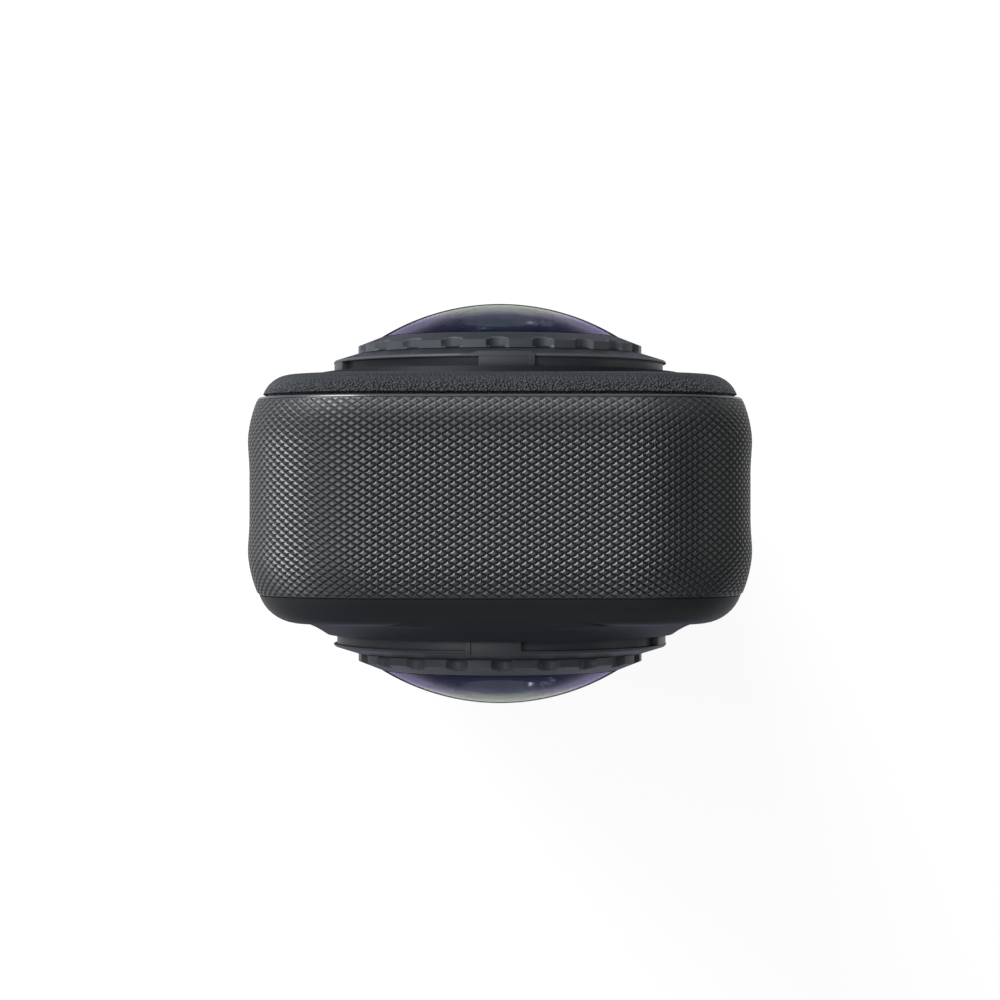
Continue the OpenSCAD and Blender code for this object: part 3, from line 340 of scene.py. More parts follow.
def lightFinish():
    finish = Finish("frostedLight", Subsurface_Weight=0.3)
    fine = finish.noise(0.3, 2.0)
    return finish.feed(
        Base_Color=finish.shade(fine, (0.3, 0.31, 0.3), (0.42, 0.42, 0.41)),
        Roughness=0.35 + 0.1 * fine,
        Normal=finish.bump(fine, 0.004),
    )


finishes = {
    "knurl": knurlFinish(),
    "leather": leatherFinish(),
    "shell": satin("shellSatin", 0.006, 0.012, 0.42),
    "trim": satin("trimSatin", 0.004, 0.007, 0.5, specular=0.05),
    "rear": satin("rearShell", 0.013, 0.02, 0.42, specular=0.04),
    "frame": satin("frameBlack", 0.012, 0.022, 0.5),
    "button": satin("buttonSatin", 0.02, 0.035, 0.4),
    "battery": satin("batteryCase", 0.018, 0.03, 0.5, 0.4, 0.01),
    "rubber": satin("sealRubber", 0.006, 0.012, 0.75, 0.3, 0.006),
    "flange": turnedFinish("flangeBlack", 0.022, 0.036, 0.4, specular=0.1),
    "ring": turnedFinish("ringBlack", 0.03, 0.048, 0.36, specular=0.06),
    # a darker copy of the turned finish, for painted shade on faces that look to the front
    "bevel": turnedFinish("shadedBevelBlack", 0.008, 0.013, 0.4, specular=0.05),
    "barrel": turnedFinish("barrelBlack", 0.004, 0.009, 0.7, 0.35, 0.01, 0.1),
    "dome": glassFinish("domeGlass", (0.93, 0.96, 0.97), 160.0, 415.0, 11.3),
    "hollow": glassFinish("hollowGlass", (0.9, 0.93, 0.97), 0.0, 0.0, 6.0, 1.12),
    "element": glassFinish("elementGlass", (0.8, 0.83, 0.9), 0.0, 0.0, 5.2, 1.16),
    "pupil": satin("pupilGlass", 0.002, 0.003, 0.1, 0.25, 0.0, specular=0.5),
    "blacking": satin("edgeBlacking", 0.002, 0.004, 0.7, specular=0.05),
    "steel": brushedFinish("brushedSteel", (0.3, 0.3, 0.31), (0.5, 0.5, 0.51), 0.3, (0.06, 1.0, 1.0)),
    "plate": brushedFinish("basePlate", (0.05, 0.05, 0.052), (0.1, 0.1, 0.104), 0.38, (0.06, 1.0, 1.0)),
    "brass": brushedFinish("turnedBrass", (0.55, 0.38, 0.15), (0.75, 0.57, 0.28), 0.25, (1.0, 1.0, 0.1)),
    "carrier": brushedFinish("castAlloy", (0.35, 0.36, 0.37), (0.52, 0.53, 0.55), 0.45),
    "board": boardFinish(),
    "screen": screenFinish(),
    "mesh": meshFinish(),
    "light": lightFinish(),
}
print("finishes:", len(finishes))

dressing = {  # of the CAD nodes that stay in sight; seals are rubber and the rest is steel
    "leather": "front_cover",
    "rear": "rear_cover",
    "shell": "base_cap",
    "trim": "front_trim_ring",
    "frame": "mid_frame battery_bay speaker",
    "plate": "base_plate",
    "screen": "screen_glass display_panel",
    "battery": "battery_pack",
    "mesh": "mic_mesh",
    "light": "status_light",
    "brass": "battery_contacts antenna",
    "carrier": "lens_carrier heat_spreader",
    "board": "main_board usb_board side_switch_board front_sensor rear_sensor",
    "barrel": "front_lens_barrel rear_lens_barrel",
}
nodeFinish = {label: finish for finish, labels in dressing.items() for label in labels.split()}
for label, node in nodes.items():
    fallback = "rubber" if "gasket" in label or "seal" in label else "steel"
    node.data.materials.clear()
    node.data.materials.append(finishes[nodeFinish.get(label, fallback)])
print("carried-over nodes dressed:", len(nodes))


def placed(bm, name, material):
    # turns a bmesh into an object of the scene
    mesh = bpy.data.meshes.new(name)
    bm.to_mesh(mesh)
    bm.free()
    mesh.materials.append(material)
    holder = bpy.data.objects.new(name, mesh)
    scene.collection.objects.link(holder)
    return holder


def finished(bm, name, finish, rider, stands=(), sharp=32):
    # a piece that rides on a body and stands for CAD nodes
    piece = placed(bm, name, finishes[finish])
    piece.data.polygons.foreach_set("use_smooth", [True] * len(piece.data.polygons))
    piece.data.set_sharp_from_angle(angle=math.radians(sharp))
    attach(piece, rider)
    if stands:
        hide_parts(*stands)
    return piece


def outward(bm):
    # turns the faces of one closed piece to look out
    bmesh.ops.recalc_face_normals(bm, faces=bm.faces)
    if bm.calc_volume(signed=True) < 0:
        bmesh.ops.reverse_faces(bm, faces=bm.faces)
    return bm


def joinedBm(first, second):
    # adds the faces of the second bmesh to the first
    mesh = bpy.data.meshes.new("part")
    second.to_mesh(mesh)
    second.free()
    first.from_mesh(mesh)
    bpy.data.meshes.remove(mesh)
    return first


# Knurled skins: the band and the two doors in it

knurl = {
    "width": 1.131,  # one diamond, round the body
    "rise": 0.6695,  # one diamond, across the band
    "inradius": 0.288,
    "bevel": 0.16,  # from the groove to the flat of a diamond
    "depth": 0.14,
    "lip": 0.32,  # plain edge along the front seam
    "fade": 0.5,  # share of the depth lost towards that edge
    "fadeRun": 3.0,
    "waist": 0.18,  # how far the sides draw in
    "waistFrom": 2.0,  # it eases out between these places
    "waistTo": 5.8,
    "wall": 0.75,
    "wholeFrom": 0.85,  # share of the inradius from which a diamond counts as whole
    "cutFrom": 0.35,  # and from which a cut one is still raised
    "cutRise": 0.4,  # share of the rise of a cut one
    "lipSink": 0.02,
    "lipRound": 0.14,  # how far the lip rounds off at the seam
}
bandMiddle = (body["frontSeam"] - body["rearSeam"]) / 2
bandFlat = (body["frontSeam"] + body["rearSeam"]) / 2 - body["edgeRun"]
bandRound = (body["edgeRun"] ** 2 + body["edgeDrop"] ** 2) / (2 * body["edgeDrop"])
bandHalf = bandFlat + bandRound * math.asin(body["edgeRun"] / bandRound)
lipStart = bandHalf - knurl["lip"]
topHalf = body["halfWidth"] - body["corner"]
cornerRun = body["corner"] * math.pi / 2
sideTop = body["height"] - body["corner"]
bandEnd = topHalf + cornerRun + sideTop - body["bandFoot"]
near = 1e-5  # how close to a cutting plane a point counts as on it


def smoothStep(low, high, value):
    part = min(1.0, max(0.0, (value - low) / (high - low)))
    return part * part * (3 - 2 * part)


def bandPlace(along, across, sink):
    # along: round the outline from the middle of the top; across: over the band from its middle
    lean = max(0.0, abs(across) - bandFlat) / bandRound
    side = math.copysign(1.0, across)
    inset = bandRound * (1 - math.cos(lean)) + sink * math.cos(lean)
    depth = bandMiddle + side * (min(abs(across), bandFlat) + bandRound * math.sin(lean) - sink * math.sin(lean))
    run = abs(along)
    if run <= topHalf:
        x, z, outX, outZ = run, body["height"], 0.0, 1.0
    elif run <= topHalf + cornerRun:
        turn = (run - topHalf) / body["corner"]
        outX, outZ = math.sin(turn), math.cos(turn)
        x, z = topHalf + body["corner"] * outX, sideTop + body["corner"] * outZ
    else:
        x, z, outX, outZ = body["halfWidth"], sideTop - (run - topHalf - cornerRun), 1.0, 0.0
    inset += knurl["waist"] * outX ** 4 * (1 - smoothStep(knurl["waistFrom"], knurl["waistTo"], abs(across)))
    return Vector((math.copysign(x - inset * outX, along) * mm, depth * mm, (z - inset * outZ) * mm))


def acrossAt(y):
    # distance over the band of a point at this depth
    off = y - bandMiddle
    if abs(off) <= bandFlat:
        return off
    return math.copysign(bandFlat + bandRound * math.asin((abs(off) - bandFlat) / bandRound), off)


def alongAt(side, z):
    return side * (topHalf + cornerRun + sideTop - z)


def roundedOutline(side, lowest, highest, radii, segments=6):
    # outline of a door or button window on one side, radii from its lower rear corner round
    corners = [(lowest[0], lowest[1]), (highest[0], lowest[1]), (highest[0], highest[1]), (lowest[0], highest[1])]
    inward = [(1, 1), (-1, 1), (-1, -1), (1, -1)]
    points = []
    for k, ((y, z), (signY, signZ), radius) in enumerate(zip(corners, inward, radii)):
        for step in range(segments + 1 if radius else 1):
            angle = math.pi + k * math.pi / 2 + step / segments * math.pi / 2
            pointY = y + signY * radius + radius * math.cos(angle)
            pointZ = z + signZ * radius + radius * math.sin(angle)
            points.append((alongAt(side, pointZ), acrossAt(pointY)))
    if side < 0:  # kept anticlockwise on the sheet
        points.reverse()
    return points


def knurlSheet(fromAlong, toAlong, fromAcross, toAcross):
    # flat sheet of diamonds: a square grid, laid so that its lines run along the grooves
    width, rise = knurl["width"], knurl["rise"]
    reach = max(abs(fromAcross), abs(toAcross)) / rise
    first, last = math.floor(fromAlong / width - reach) - 1, math.ceil(toAlong / width + reach) + 1
    bm = bmesh.new()
    bmesh.ops.create_grid(bm, x_segments=last - first, y_segments=last - first, size=(last - first) / 2)
    for vert in bm.verts:
        p = (first + last + 1) / 2 + vert.co.x
        q = (first + last + 1) / 2 - vert.co.y
        vert.co = (width * (p + q) / 2, rise * (p - q) / 2, 0)
    away = []
    for face in bm.faces:
        centre = face.calc_center_median()
        if not (fromAlong - width < centre.x < toAlong + width and fromAcross - rise < centre.y < toAcross + rise):
            away.append(face)
    bmesh.ops.delete(bm, geom=away, context="FACES")
    groove = bm.edges.layers.int.new("groove")
    for edge in bm.edges:
        edge[groove] = 1
    return bm


def wholeAgain(bm):
    # takes out the lines that scoring left outside a window, so that only grooves part the diamonds
    groove = bm.edges.layers.int["groove"]
    bmesh.ops.dissolve_edges(bm, edges=[e for e in bm.edges if not e[groove] and not e.is_boundary])
    between = []
    for vert in bm.verts:
        if len(vert.link_edges) == 2:
            first, second = (e.other_vert(vert).co - vert.co for e in vert.link_edges)
            if first.angle(-second) < 0.002:
                between.append(vert)
    bmesh.ops.dissolve_verts(bm, verts=between)
    bm.edges.layers.int.remove(groove)


def raised(bm, faces):
    # lifts each diamond out of its grooves; the ones cut by an edge stay lower
    whole, part = [], []
    for face in faces:
        size = 2 * face.calc_area() / face.calc_perimeter()
        if size > knurl["wholeFrom"] * knurl["inradius"]:
            whole.append(face)
        elif size > knurl["cutFrom"] * knurl["inradius"]:
            part.append(face)
    for group, share in ((whole, 1.0), (part, knurl["cutRise"])):
        bevel, rise = knurl["bevel"] * share, knurl["depth"] * share
        bmesh.ops.inset_individual(bm, faces=group, thickness=bevel, depth=rise, use_even_offset=True)


def facesInside(bm, outline):
    # scores the sheet along a convex outline and returns the faces inside it
    lowX, highX = min(p[0] for p in outline) - 1, max(p[0] for p in outline) + 1
    lowY, highY = min(p[1] for p in outline) - 1, max(p[1] for p in outline) + 1
    inside = []
    for face in bm.faces:
        centre = face.calc_center_median()
        if lowX < centre.x < highX and lowY < centre.y < highY:
            inside.append(face)
    for start, end in zip(outline, outline[1:] + outline[:1]):
        out = Vector((end[1] - start[1], start[0] - end[0], 0))
        if out.length < 1e-9:
            continue
        point = Vector((start[0], start[1], 0))
        scored = {v for f in inside for v in f.verts} | {e for f in inside for e in f.edges} | set(inside)
        cut = bmesh.ops.bisect_plane(bm, geom=list(scored), plane_co=point, plane_no=out, dist=near)
        faces = {g for g in cut["geom"] if isinstance(g, bmesh.types.BMFace)}
        inside = [f for f in faces if (f.calc_center_median() - point).dot(out) < 0]
    return inside


def wrapped(bm):
    # lays the flat sheet on the body: height over the grooves becomes depth below the skin
    tip = bm.verts.layers.float.new("tip")
    for vert in bm.verts:
        along, across, height = vert.co
        if across > lipStart + 0.01:
            part = (across - lipStart) / knurl["lip"]
            vert[tip], sink = 1.5, knurl["lipSink"] + knurl["lipRound"] * part ** 3 + max(0.0, -height)
        else:
            shallow = 1 - knurl["fade"] * smoothStep(bandHalf - knurl["fadeRun"], lipStart, across)
            vert[tip], sink = height / knurl["depth"], (knurl["depth"] - height) * shallow
        vert.co = bandPlace(along, across, sink)


def vertsOf(geom):
    return [part for part in geom if isinstance(part, bmesh.types.BMVert)]


def capped(bm, edges, plane):
    # draws a rim straight in along X to a plane and closes it there
    drawn = bmesh.ops.extrude_edge_only(bm, edges=edges)["geom"]
    for vert in vertsOf(drawn):
        vert.co.x = plane * mm
    bmesh.ops.edgeloop_fill(bm, edges=[g for g in drawn if isinstance(g, bmesh.types.BMEdge) and g.is_boundary])


def sideBox(node, grow):
    # depth and height of a CAD piece on the side of the body, in millimetres
    lowest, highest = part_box(node)
    return (lowest.y / mm - grow, lowest.z / mm - grow), (highest.y / mm + grow, highest.z / mm + grow)


doors = {"gap": 0.15, "batteryCorner": 2.35, "usbCorner": 1.55, "buttonRim": 0.4}
batteryLow, batteryHigh = sideBox("battery_door", 0)
usbLow, usbHigh = sideBox("usb_door", 0)
latchLow, latchHigh = sideBox("battery_latch", 0)
knuckle = {"radius": 1.7, "bore": 0.68, "x": 21.25, "z": 10.15, "plate": 1.8}
latchSlot = {"width": 5.1, "travel": 2.2, "floor": -21.3}
latchMiddle = (latchLow[0] + latchHigh[0]) / 2

bm = knurlSheet(-bandEnd, bandEnd, -bandHalf, bandHalf)
for normal, limit in (((1, 0, 0), bandEnd), ((-1, 0, 0), bandEnd), ((0, 1, 0), lipStart), ((0, -1, 0), bandHalf)):
    place = [part * limit for part in normal]
    sheet = bm.verts[:] + bm.edges[:] + bm.faces[:]
    bmesh.ops.bisect_plane(bm, geom=sheet, plane_co=place, plane_no=normal, dist=near, clear_outer=True)
gap = doors["gap"]
windows = [
    roundedOutline(-1, *sideBox("battery_door", gap), [doors["batteryCorner"] + gap] * 4),
    roundedOutline(1, *sideBox("usb_door", gap), [0, 0, doors["usbCorner"] + gap, doors["usbCorner"] + gap]),
]
for button in ("power_button", "quick_button"):
    lowest, highest = sideBox(button, -doors["buttonRim"])  # without the rim that keeps the button in
    windows.append(roundedOutline(1, lowest, highest, [(highest[0] - lowest[0]) / 2 - 0.001] * 4, 10))
for outline in windows:
    bmesh.ops.delete(bm, geom=facesInside(bm, outline), context="FACES")
wholeAgain(bm)
diamonds = set(bm.faces)
front = [e for e in bm.edges if e.is_boundary and all(v.co.y > lipStart - 1e-4 for v in e.verts)]
for share in (0.06, 0.4, 0.7, 0.86, 1.0):  # the plain lip along the front seam
    drawn = bmesh.ops.extrude_edge_only(bm, edges=front)["geom"]
    rim = set(vertsOf(drawn))
    for vert in rim:
        vert.co.y = lipStart + knurl["lip"] * share
    front = [g for g in drawn if isinstance(g, bmesh.types.BMEdge) and rim.issuperset(g.verts)]
lower = bmesh.ops.extrude_face_region(bm, geom=bm.faces[:], use_keep_orig=True)["geom"]
for vert in vertsOf(lower):
    vert.co.z = -knurl["wall"]
raised(outward(bm), diamonds)
wrapped(bm)
band = finished(outward(bm), "knurledBand", "knurl", "camera_body", ["grip_band"], sharp=20)
print("knurled band:", len(band.data.polygons), "faces")

bm = knurlSheet(
    alongAt(-1, batteryLow[1]), alongAt(-1, batteryHigh[1]), acrossAt(batteryLow[0]), acrossAt(batteryHigh[0]))
inside = set(facesInside(bm, roundedOutline(-1, batteryLow, batteryHigh, [doors["batteryCorner"]] * 4)))
bmesh.ops.delete(bm, geom=[f for f in bm.faces if f not in inside], context="FACES")
slotLow = (latchMiddle - latchSlot["width"] / 2, latchLow[1] - gap)
slotHigh = (latchMiddle + latchSlot["width"] / 2, latchHigh[1] + latchSlot["travel"] + gap)
bmesh.ops.delete(bm, geom=facesInside(bm, roundedOutline(-1, slotLow, slotHigh, [0] * 4)), context="FACES")
wholeAgain(bm)
raised(bm, bm.faces[:])
wrapped(bm)


def inSlot(vert, slack=0.01):
    up, off = vert.co.z / mm, abs(vert.co.y / mm - latchMiddle)
    return slotLow[1] - slack < up < slotHigh[1] + slack and off < latchSlot["width"] / 2 + slack


rim = [e for e in bm.edges if e.is_boundary]
slotRim = [e for e in rim if all(inSlot(v) for v in e.verts)]
doorRim = [e for e in rim if e not in slotRim]
capped(bm, slotRim, latchSlot["floor"])
capped(bm, doorRim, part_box("battery_door")[1].x / mm)
batteryDoor = finished(outward(bm), "knurledBatteryDoor", "knurl", "battery", ["battery_door"], sharp=20)

usbLow = (usbLow[0], knuckle["z"])
bm = knurlSheet(alongAt(1, usbHigh[1]), alongAt(1, usbLow[1]), acrossAt(usbLow[0]), acrossAt(usbHigh[0]))
inside = set(facesInside(bm, roundedOutline(1, usbLow, usbHigh, [0, 0, doors["usbCorner"], doors["usbCorner"]])))
bmesh.ops.delete(bm, geom=[f for f in bm.faces if f not in inside], context="FACES")
wholeAgain(bm)
raised(bm, bm.faces[:])
wrapped(bm)
capped(bm, [e for e in bm.edges if e.is_boundary], body["halfWidth"] - knuckle["plate"])
hinge = bmesh.new()
hingePlace = Vector((knuckle["x"] * mm, 0, knuckle["z"] * mm))
tube = []
for part, y in (("bore", usbLow[0]), ("radius", usbLow[0]), ("radius", usbHigh[0]), ("bore", usbHigh[0])):
    tube.append(hinge.verts.new(hingePlace + Vector((knuckle[part] * mm, y * mm, 0))))
rims = [hinge.edges.new(pair) for pair in zip(tube, tube[1:] + tube[:1])]
bmesh.ops.spin(hinge, geom=tube + rims, cent=hingePlace, axis=(0, 1, 0), angle=2 * math.pi, steps=40, use_merge=True)
joinedBm(outward(bm), outward(hinge))
usbDoor = finished(bm, "knurledUsbDoor", "knurl", "usb_flap", ["usb_door"], sharp=20)
print("knurled doors:", len(batteryDoor.data.polygons), len(usbDoor.data.polygons), "faces")


# Lens modules: each is turned about its axis at the front, and turned half round the body for the rear

lens = {
    "seat": 12.3,
    "spigotIn": 13.1,
    "spigot": 14.0,
    "spigotFoot": {"front": 10.0, "rear": 9.15},  # how deep each flange reaches into its cover
    "neck": 15.1,
    "blade": 15.75,
    "bladeFoot": 13.2,
    "bladeRim": 13.45,
    "bladeBevel": 0.14,
    "bladeShoulder": 13.47,
    "bladeTop": (13.75, 14.05),
    "bore": 12.08,
    "ringFoot": 14.13,
    "ring": 13.43,
    "ringWall": 14.85,
    "ringTop": 15.63,
    "ringThread": (11.1, 12.0, 12.83),  # inside and outside of the threaded foot, and where it ends
    "ringLedge": (10.9, 14.4),  # on which the glass sits
    "ringLand": 0.05,  # flat of the top round the glass
    "glass": 11.4,
    "domeRadius": 21.5,
    "notches": 20,
    "notchTurn": -1.0,
    "notchRadius": 1.1,
    "notchDepth": 0.7,
}


def turned(points, steps=240, angle=2 * math.pi, start=0.0, centre=(0.0, body["lensHeight"])):
    # closed profile of (radius, depth along Y), turned about the line along Y at this x and z
    bm = bmesh.new()
    verts = [bm.verts.new((radius * mm, depth * mm, 0)) for radius, depth in points]
    edges = [bm.edges.new(pair) for pair in zip(verts, verts[1:] + verts[:1])]
    full = angle >= 2 * math.pi
    if not full:
        bmesh.ops.edgeloop_fill(bm, edges=edges)
    bmesh.ops.spin(
        bm, geom=verts + edges if full else bm.faces[:], cent=(0, 0, 0), axis=(0, 1, 0),
        angle=angle, steps=steps, use_merge=full)
    bmesh.ops.remove_doubles(bm, verts=bm.verts, dist=1e-8)
    bmesh.ops.delete(bm, geom=[e for e in bm.edges if not e.link_faces], context="EDGES")
    bmesh.ops.rotate(bm, verts=bm.verts, cent=(0, 0, 0), matrix=Matrix.Rotation(start, 3, "Y"))
    bmesh.ops.translate(bm, verts=bm.verts, vec=(centre[0] * mm, 0, centre[1] * mm))
    return outward(bm)


def softened(bm, width, angle=25.0, segments=2):
    sharp = [e for e in bm.edges if len(e.link_faces) == 2 and e.calc_face_angle() > math.radians(angle)]
    bmesh.ops.bevel(
        bm, geom=sharp, offset=width * mm, affect="EDGES", segments=segments, profile=0.5, material=-1,
        clamp_overlap=True)


def faced(bm, side):
    if side == "rear":
        bmesh.ops.rotate(bm, verts=bm.verts, cent=(0, 0, 0), matrix=Matrix.Rotation(math.pi, 3, "Z"))
    return bm


lugFoot = lens["neck"] - 0.5
lugs = [  # from and to, as angles from the top towards +X, with reach and height
    {"from": -7.0, "to": 11.0, "reach": 15.74, "top": 13.68},
    {"from": 9.6, "to": 11.4, "reach": 15.9, "top": 13.5},
    {"from": 11.0, "to": 82.0, "reach": 15.5, "top": 13.3},
    {"from": 128.0, "to": 146.0, "reach": 15.7, "top": 13.32},
    {"from": 245.0, "to": 291.0, "reach": 15.7, "top": 13.32},
]
lead = {  # ramp that leads a guard on to the first lug
    "from": -13.0,
    "turn": 6.0,
    "inner": lens["blade"] - 0.5,
    "outer": lens["blade"] - 0.02,
    "foot": lens["bladeFoot"] + 0.1,
    "low": 13.42,
    "top": 13.68,
}


def blackened(piece, lean=0.9):
    # the faces that look to the front get a darker finish: painted shade
    piece.data.materials.append(finishes["bevel"])
    for face in piece.data.polygons:
        if face.normal.y > lean:
            face.material_index = 1
    return piece


def flangePiece(side):
    foot, seat, neck = lens["spigotFoot"][side], lens["seat"], lens["neck"]
    blade, bevel = lens["blade"], lens["bladeBevel"]
    bm = turned([
        (lens["spigotIn"], foot), (lens["spigot"], foot), (lens["spigot"], seat), (neck, seat),
        (neck, lens["bladeFoot"]), (blade, lens["bladeFoot"]), (blade, lens["bladeRim"] - bevel),
        (blade - bevel, lens["bladeShoulder"]), lens["bladeTop"],
        (lens["bore"], lens["bladeTop"][1]), (lens["bore"], seat), (lens["spigotIn"], seat),
    ])
    softened(bm, 0.03)
    for lug in lugs:
        part = turned([
            (lugFoot, seat), (lug["reach"], seat), (lug["reach"], lug["top"]), (lugFoot, lug["top"]),
        ], 24, math.radians(lug["to"] - lug["from"]), math.radians(lug["from"] - 90))
        softened(part, 0.04)
        joinedBm(bm, part)
    ramp = turned([
        (lead["inner"], lead["foot"]), (lead["outer"], lead["foot"]),
        (lead["outer"], lead["top"]), (lead["inner"], lead["top"]),
    ], 16, math.radians(lead["turn"]), math.radians(lead["from"] - 90))
    for vert in ramp.verts:
        turn = math.degrees(math.atan2(vert.co.x, vert.co.z - lensUp))
        part = min(1.0, max(0.0, (turn - lead["from"]) / lead["turn"]))
        if vert.co.y > (lead["low"] - 0.02) * mm:
            vert.co.y = (lead["low"] + (lead["top"] - lead["low"]) * part ** 2) * mm
    joinedBm(bm, ramp)
    piece = finished(
        faced(bm, side), side + "BayonetFlange", "flange", "camera_body", [side + "_lens_flange"])
    return blackened(piece)


def ringPiece(side):
    foot, wall, top = lens["ringFoot"], lens["ringWall"], lens["ringTop"]
    inner, outer, end = lens["ringThread"]
    ledgeIn, ledge = lens["ringLedge"]
    profile = [(inner, end), (outer, end), (outer, foot)]
    profile += [(lens["ring"], foot + (wall - foot) * k / 4) for k in range(5)]
    bevelRun = lens["glass"] + lens["ringLand"] - lens["ring"]
    profile += [(lens["ring"] + bevelRun * k / 8, wall + (top - wall) * k / 8) for k in range(1, 9)]
    profile += [(lens["glass"], top), (lens["glass"], ledge), (ledgeIn, ledge), (ledgeIn, foot), (inner, foot)]
    bm = turned(profile, 720)
    centre = lens["ring"] - lens["notchDepth"] + lens["notchRadius"]
    pitch = 2 * math.pi / lens["notches"]
    for vert in bm.verts:
        up = vert.co.z - lensUp
        radius = math.hypot(vert.co.x, up) / mm
        if radius < lens["glass"] + lens["ringLand"] / 2 or vert.co.y < (foot + 0.05) * mm:
            continue
        turn = math.atan2(vert.co.x, up) - math.radians(lens["notchTurn"])
        off = (turn / pitch - round(turn / pitch)) * pitch
        reach = lens["notchRadius"] ** 2 - (centre * math.sin(off)) ** 2
        if reach > 0:
            limit = centre * math.cos(off) - math.sqrt(reach)
            if radius > limit:
                vert.co.x *= limit / radius
                vert.co.z = lensUp + up * limit / radius
    piece = finished(
        faced(bm, side), side + "NotchedRing", "ring", side + "_outer_lens", [side + "_lens_ring"])
    return blackened(piece)


glass = {  # a thick outer meniscus, a second one inside it and a small third element
    "gap": 0.1,  # from the dome's rim to the ring
    "seat": 14.45,
    "stepIn": 10.85,
    "foot": 13.2,
    "hollow": (6.8, 16.9, 6.05),  # radius of the hollow, its top and its rim
    "second": (6.0, 16.4, 5.2),
    "secondFoot": 12.83,
    "secondHollow": (4.6, 15.2, 4.0),
    "third": (4.0, 14.8, 3.4),
    "thirdFoot": 12.83,
}


def arc(radius, top, rim, steps=36):
    # a cap of a sphere, from its top on the axis to its rim
    angles = [math.asin(rim / radius) * k / steps for k in range(steps + 1)]
    return [(radius * math.sin(angle), top - radius + radius * math.cos(angle)) for angle in angles]


def lensPiece(name, profile, caps, finish, rider, stands, side):
    # a lens with its ground edge blacked: only faces on one of the caps stay clear
    bm = turned(profile, 180)
    for face in bm.faces:
        centre = face.calc_center_median()
        ringRadius = math.hypot(centre.x, centre.z - lensUp) / mm
        off = [abs(math.hypot(ringRadius, centre.y / mm - (top - radius)) - radius) for radius, top, rim in caps]
        face.material_index = off.index(min(off)) if min(off) < 0.02 else len(caps)
    piece = finished(faced(bm, side), name, finish, rider, stands)
    for inner in ["hollow"] * (len(caps) - 1) + ["blacking"]:
        piece.data.materials.append(finishes[inner])
    return piece


def glassPieces(side):
    centre = lens["ringTop"] - math.sqrt(lens["domeRadius"] ** 2 - lens["glass"] ** 2)
    domeRim = lens["glass"] - glass["gap"]
    dome = (lens["domeRadius"], centre + lens["domeRadius"], domeRim)
    first = arc(*dome) + [
        (domeRim, glass["seat"]), (glass["stepIn"], glass["seat"]),
        (glass["stepIn"], glass["foot"]), (glass["hollow"][2], glass["foot"]),
    ] + arc(*glass["hollow"])[::-1]
    lensPiece(side + "DomeGlass", first, [dome, glass["hollow"]],
              "dome", side + "_outer_lens", [side + "_dome"], side)
    second = arc(*glass["second"]) + [
        (glass["second"][2], glass["secondFoot"]), (glass["secondHollow"][2], glass["secondFoot"]),
    ] + arc(*glass["secondHollow"])[::-1]
    lensPiece(side + "SecondElement", second, [glass["second"], glass["secondHollow"]],
              "element", "camera_body", [side + "_lens_group"], side)
    third = arc(*glass["third"]) + [(glass["third"][2], glass["thirdFoot"]), (0, glass["thirdFoot"])]
    lensPiece(side + "ThirdElement", third, [glass["third"]], "pupil", "camera_body", [], side)


for side in ("front", "rear"):
    flangePiece(side)
    ringPiece(side)
    glassPieces(side)
print("lens modules built")


# Buttons, latch and tripod insert

rearButton = {
    "radius": 5.2,
    "face": -11.25,
    "dish": 0.2,
    "dishRim": 4.5,
    "edge": [(0.4, 0.0), (0.17, 0.06), (0.05, 0.17), (0.0, 0.32)],  # in from the wall, down from the face
    "flange": 6.0,
    "flangeFrom": -9.3,
    "flangeTo": -8.9,
    "stem": 1.2,
    "foot": -8.75,
    "height": 15.6,
    "mark": 2.75,  # radius of the groove on the shutter button
    "markDepth": 0.13,
    "aside": 8.2,  # from the middle of the body
    "steps": 18,
}


def rearButtonPiece(name, x, marked, rider, node):
    part = rearButton
    profile = []
    for k in range(part["steps"] + 1):
        radius = part["dishRim"] * k / part["steps"]
        depth = part["dish"] * (1 - (k / part["steps"]) ** 2)
        if marked and abs(radius - part["mark"]) < 0.1:
            depth += part["markDepth"]
        profile.append((radius, part["face"] + depth))
    profile += [(part["radius"] - inward, part["face"] + down) for inward, down in part["edge"]]
    profile += [(part["radius"], part["flangeFrom"]), (part["flange"], part["flangeFrom"])]
    profile += [(part["flange"], part["flangeTo"]), (part["stem"], part["flangeTo"])]
    profile += [(part["stem"], part["foot"]), (0.0, part["foot"])]
    finished(turned(profile, 120, centre=(x, part["height"])), name, "button", rider, [node])


rearButtonPiece("dishedShutterButton", -rearButton["aside"], True, "shutter", "shutter_button")
rearButtonPiece("dishedModeButton", rearButton["aside"], False, "mode", "mode_button")

sideButton = {
    "width": 4.2,
    "length": 9.5,
    "top": 22.85,
    "rim": 1.1,
    "rimFrom": 19.45,
    "rimTo": 19.85,
    "stem": 2.4,
    "foot": 19.05,
    # narrower by, and down from the top
    "face": [(0.0, 0.3), (0.1, 0.12), (0.3, 0.02), (0.6, 0.0), (1.6, 0.05), (2.8, 0.13), (4.0, 0.16)],
}


def pillRing(bm, width, length, x, y, z, segments=16):
    # ring of points round a pill that looks along X
    ring = []
    for turn, reach in ((0.0, (length - width) / 2), (math.pi, (width - length) / 2)):
        for step in range(segments + 1):
            angle = turn + math.pi * step / segments
            aside, up = width / 2 * math.cos(angle), reach + width / 2 * math.sin(angle)
            ring.append(bm.verts.new((x * mm, (y + aside) * mm, (z + up) * mm)))
    return ring


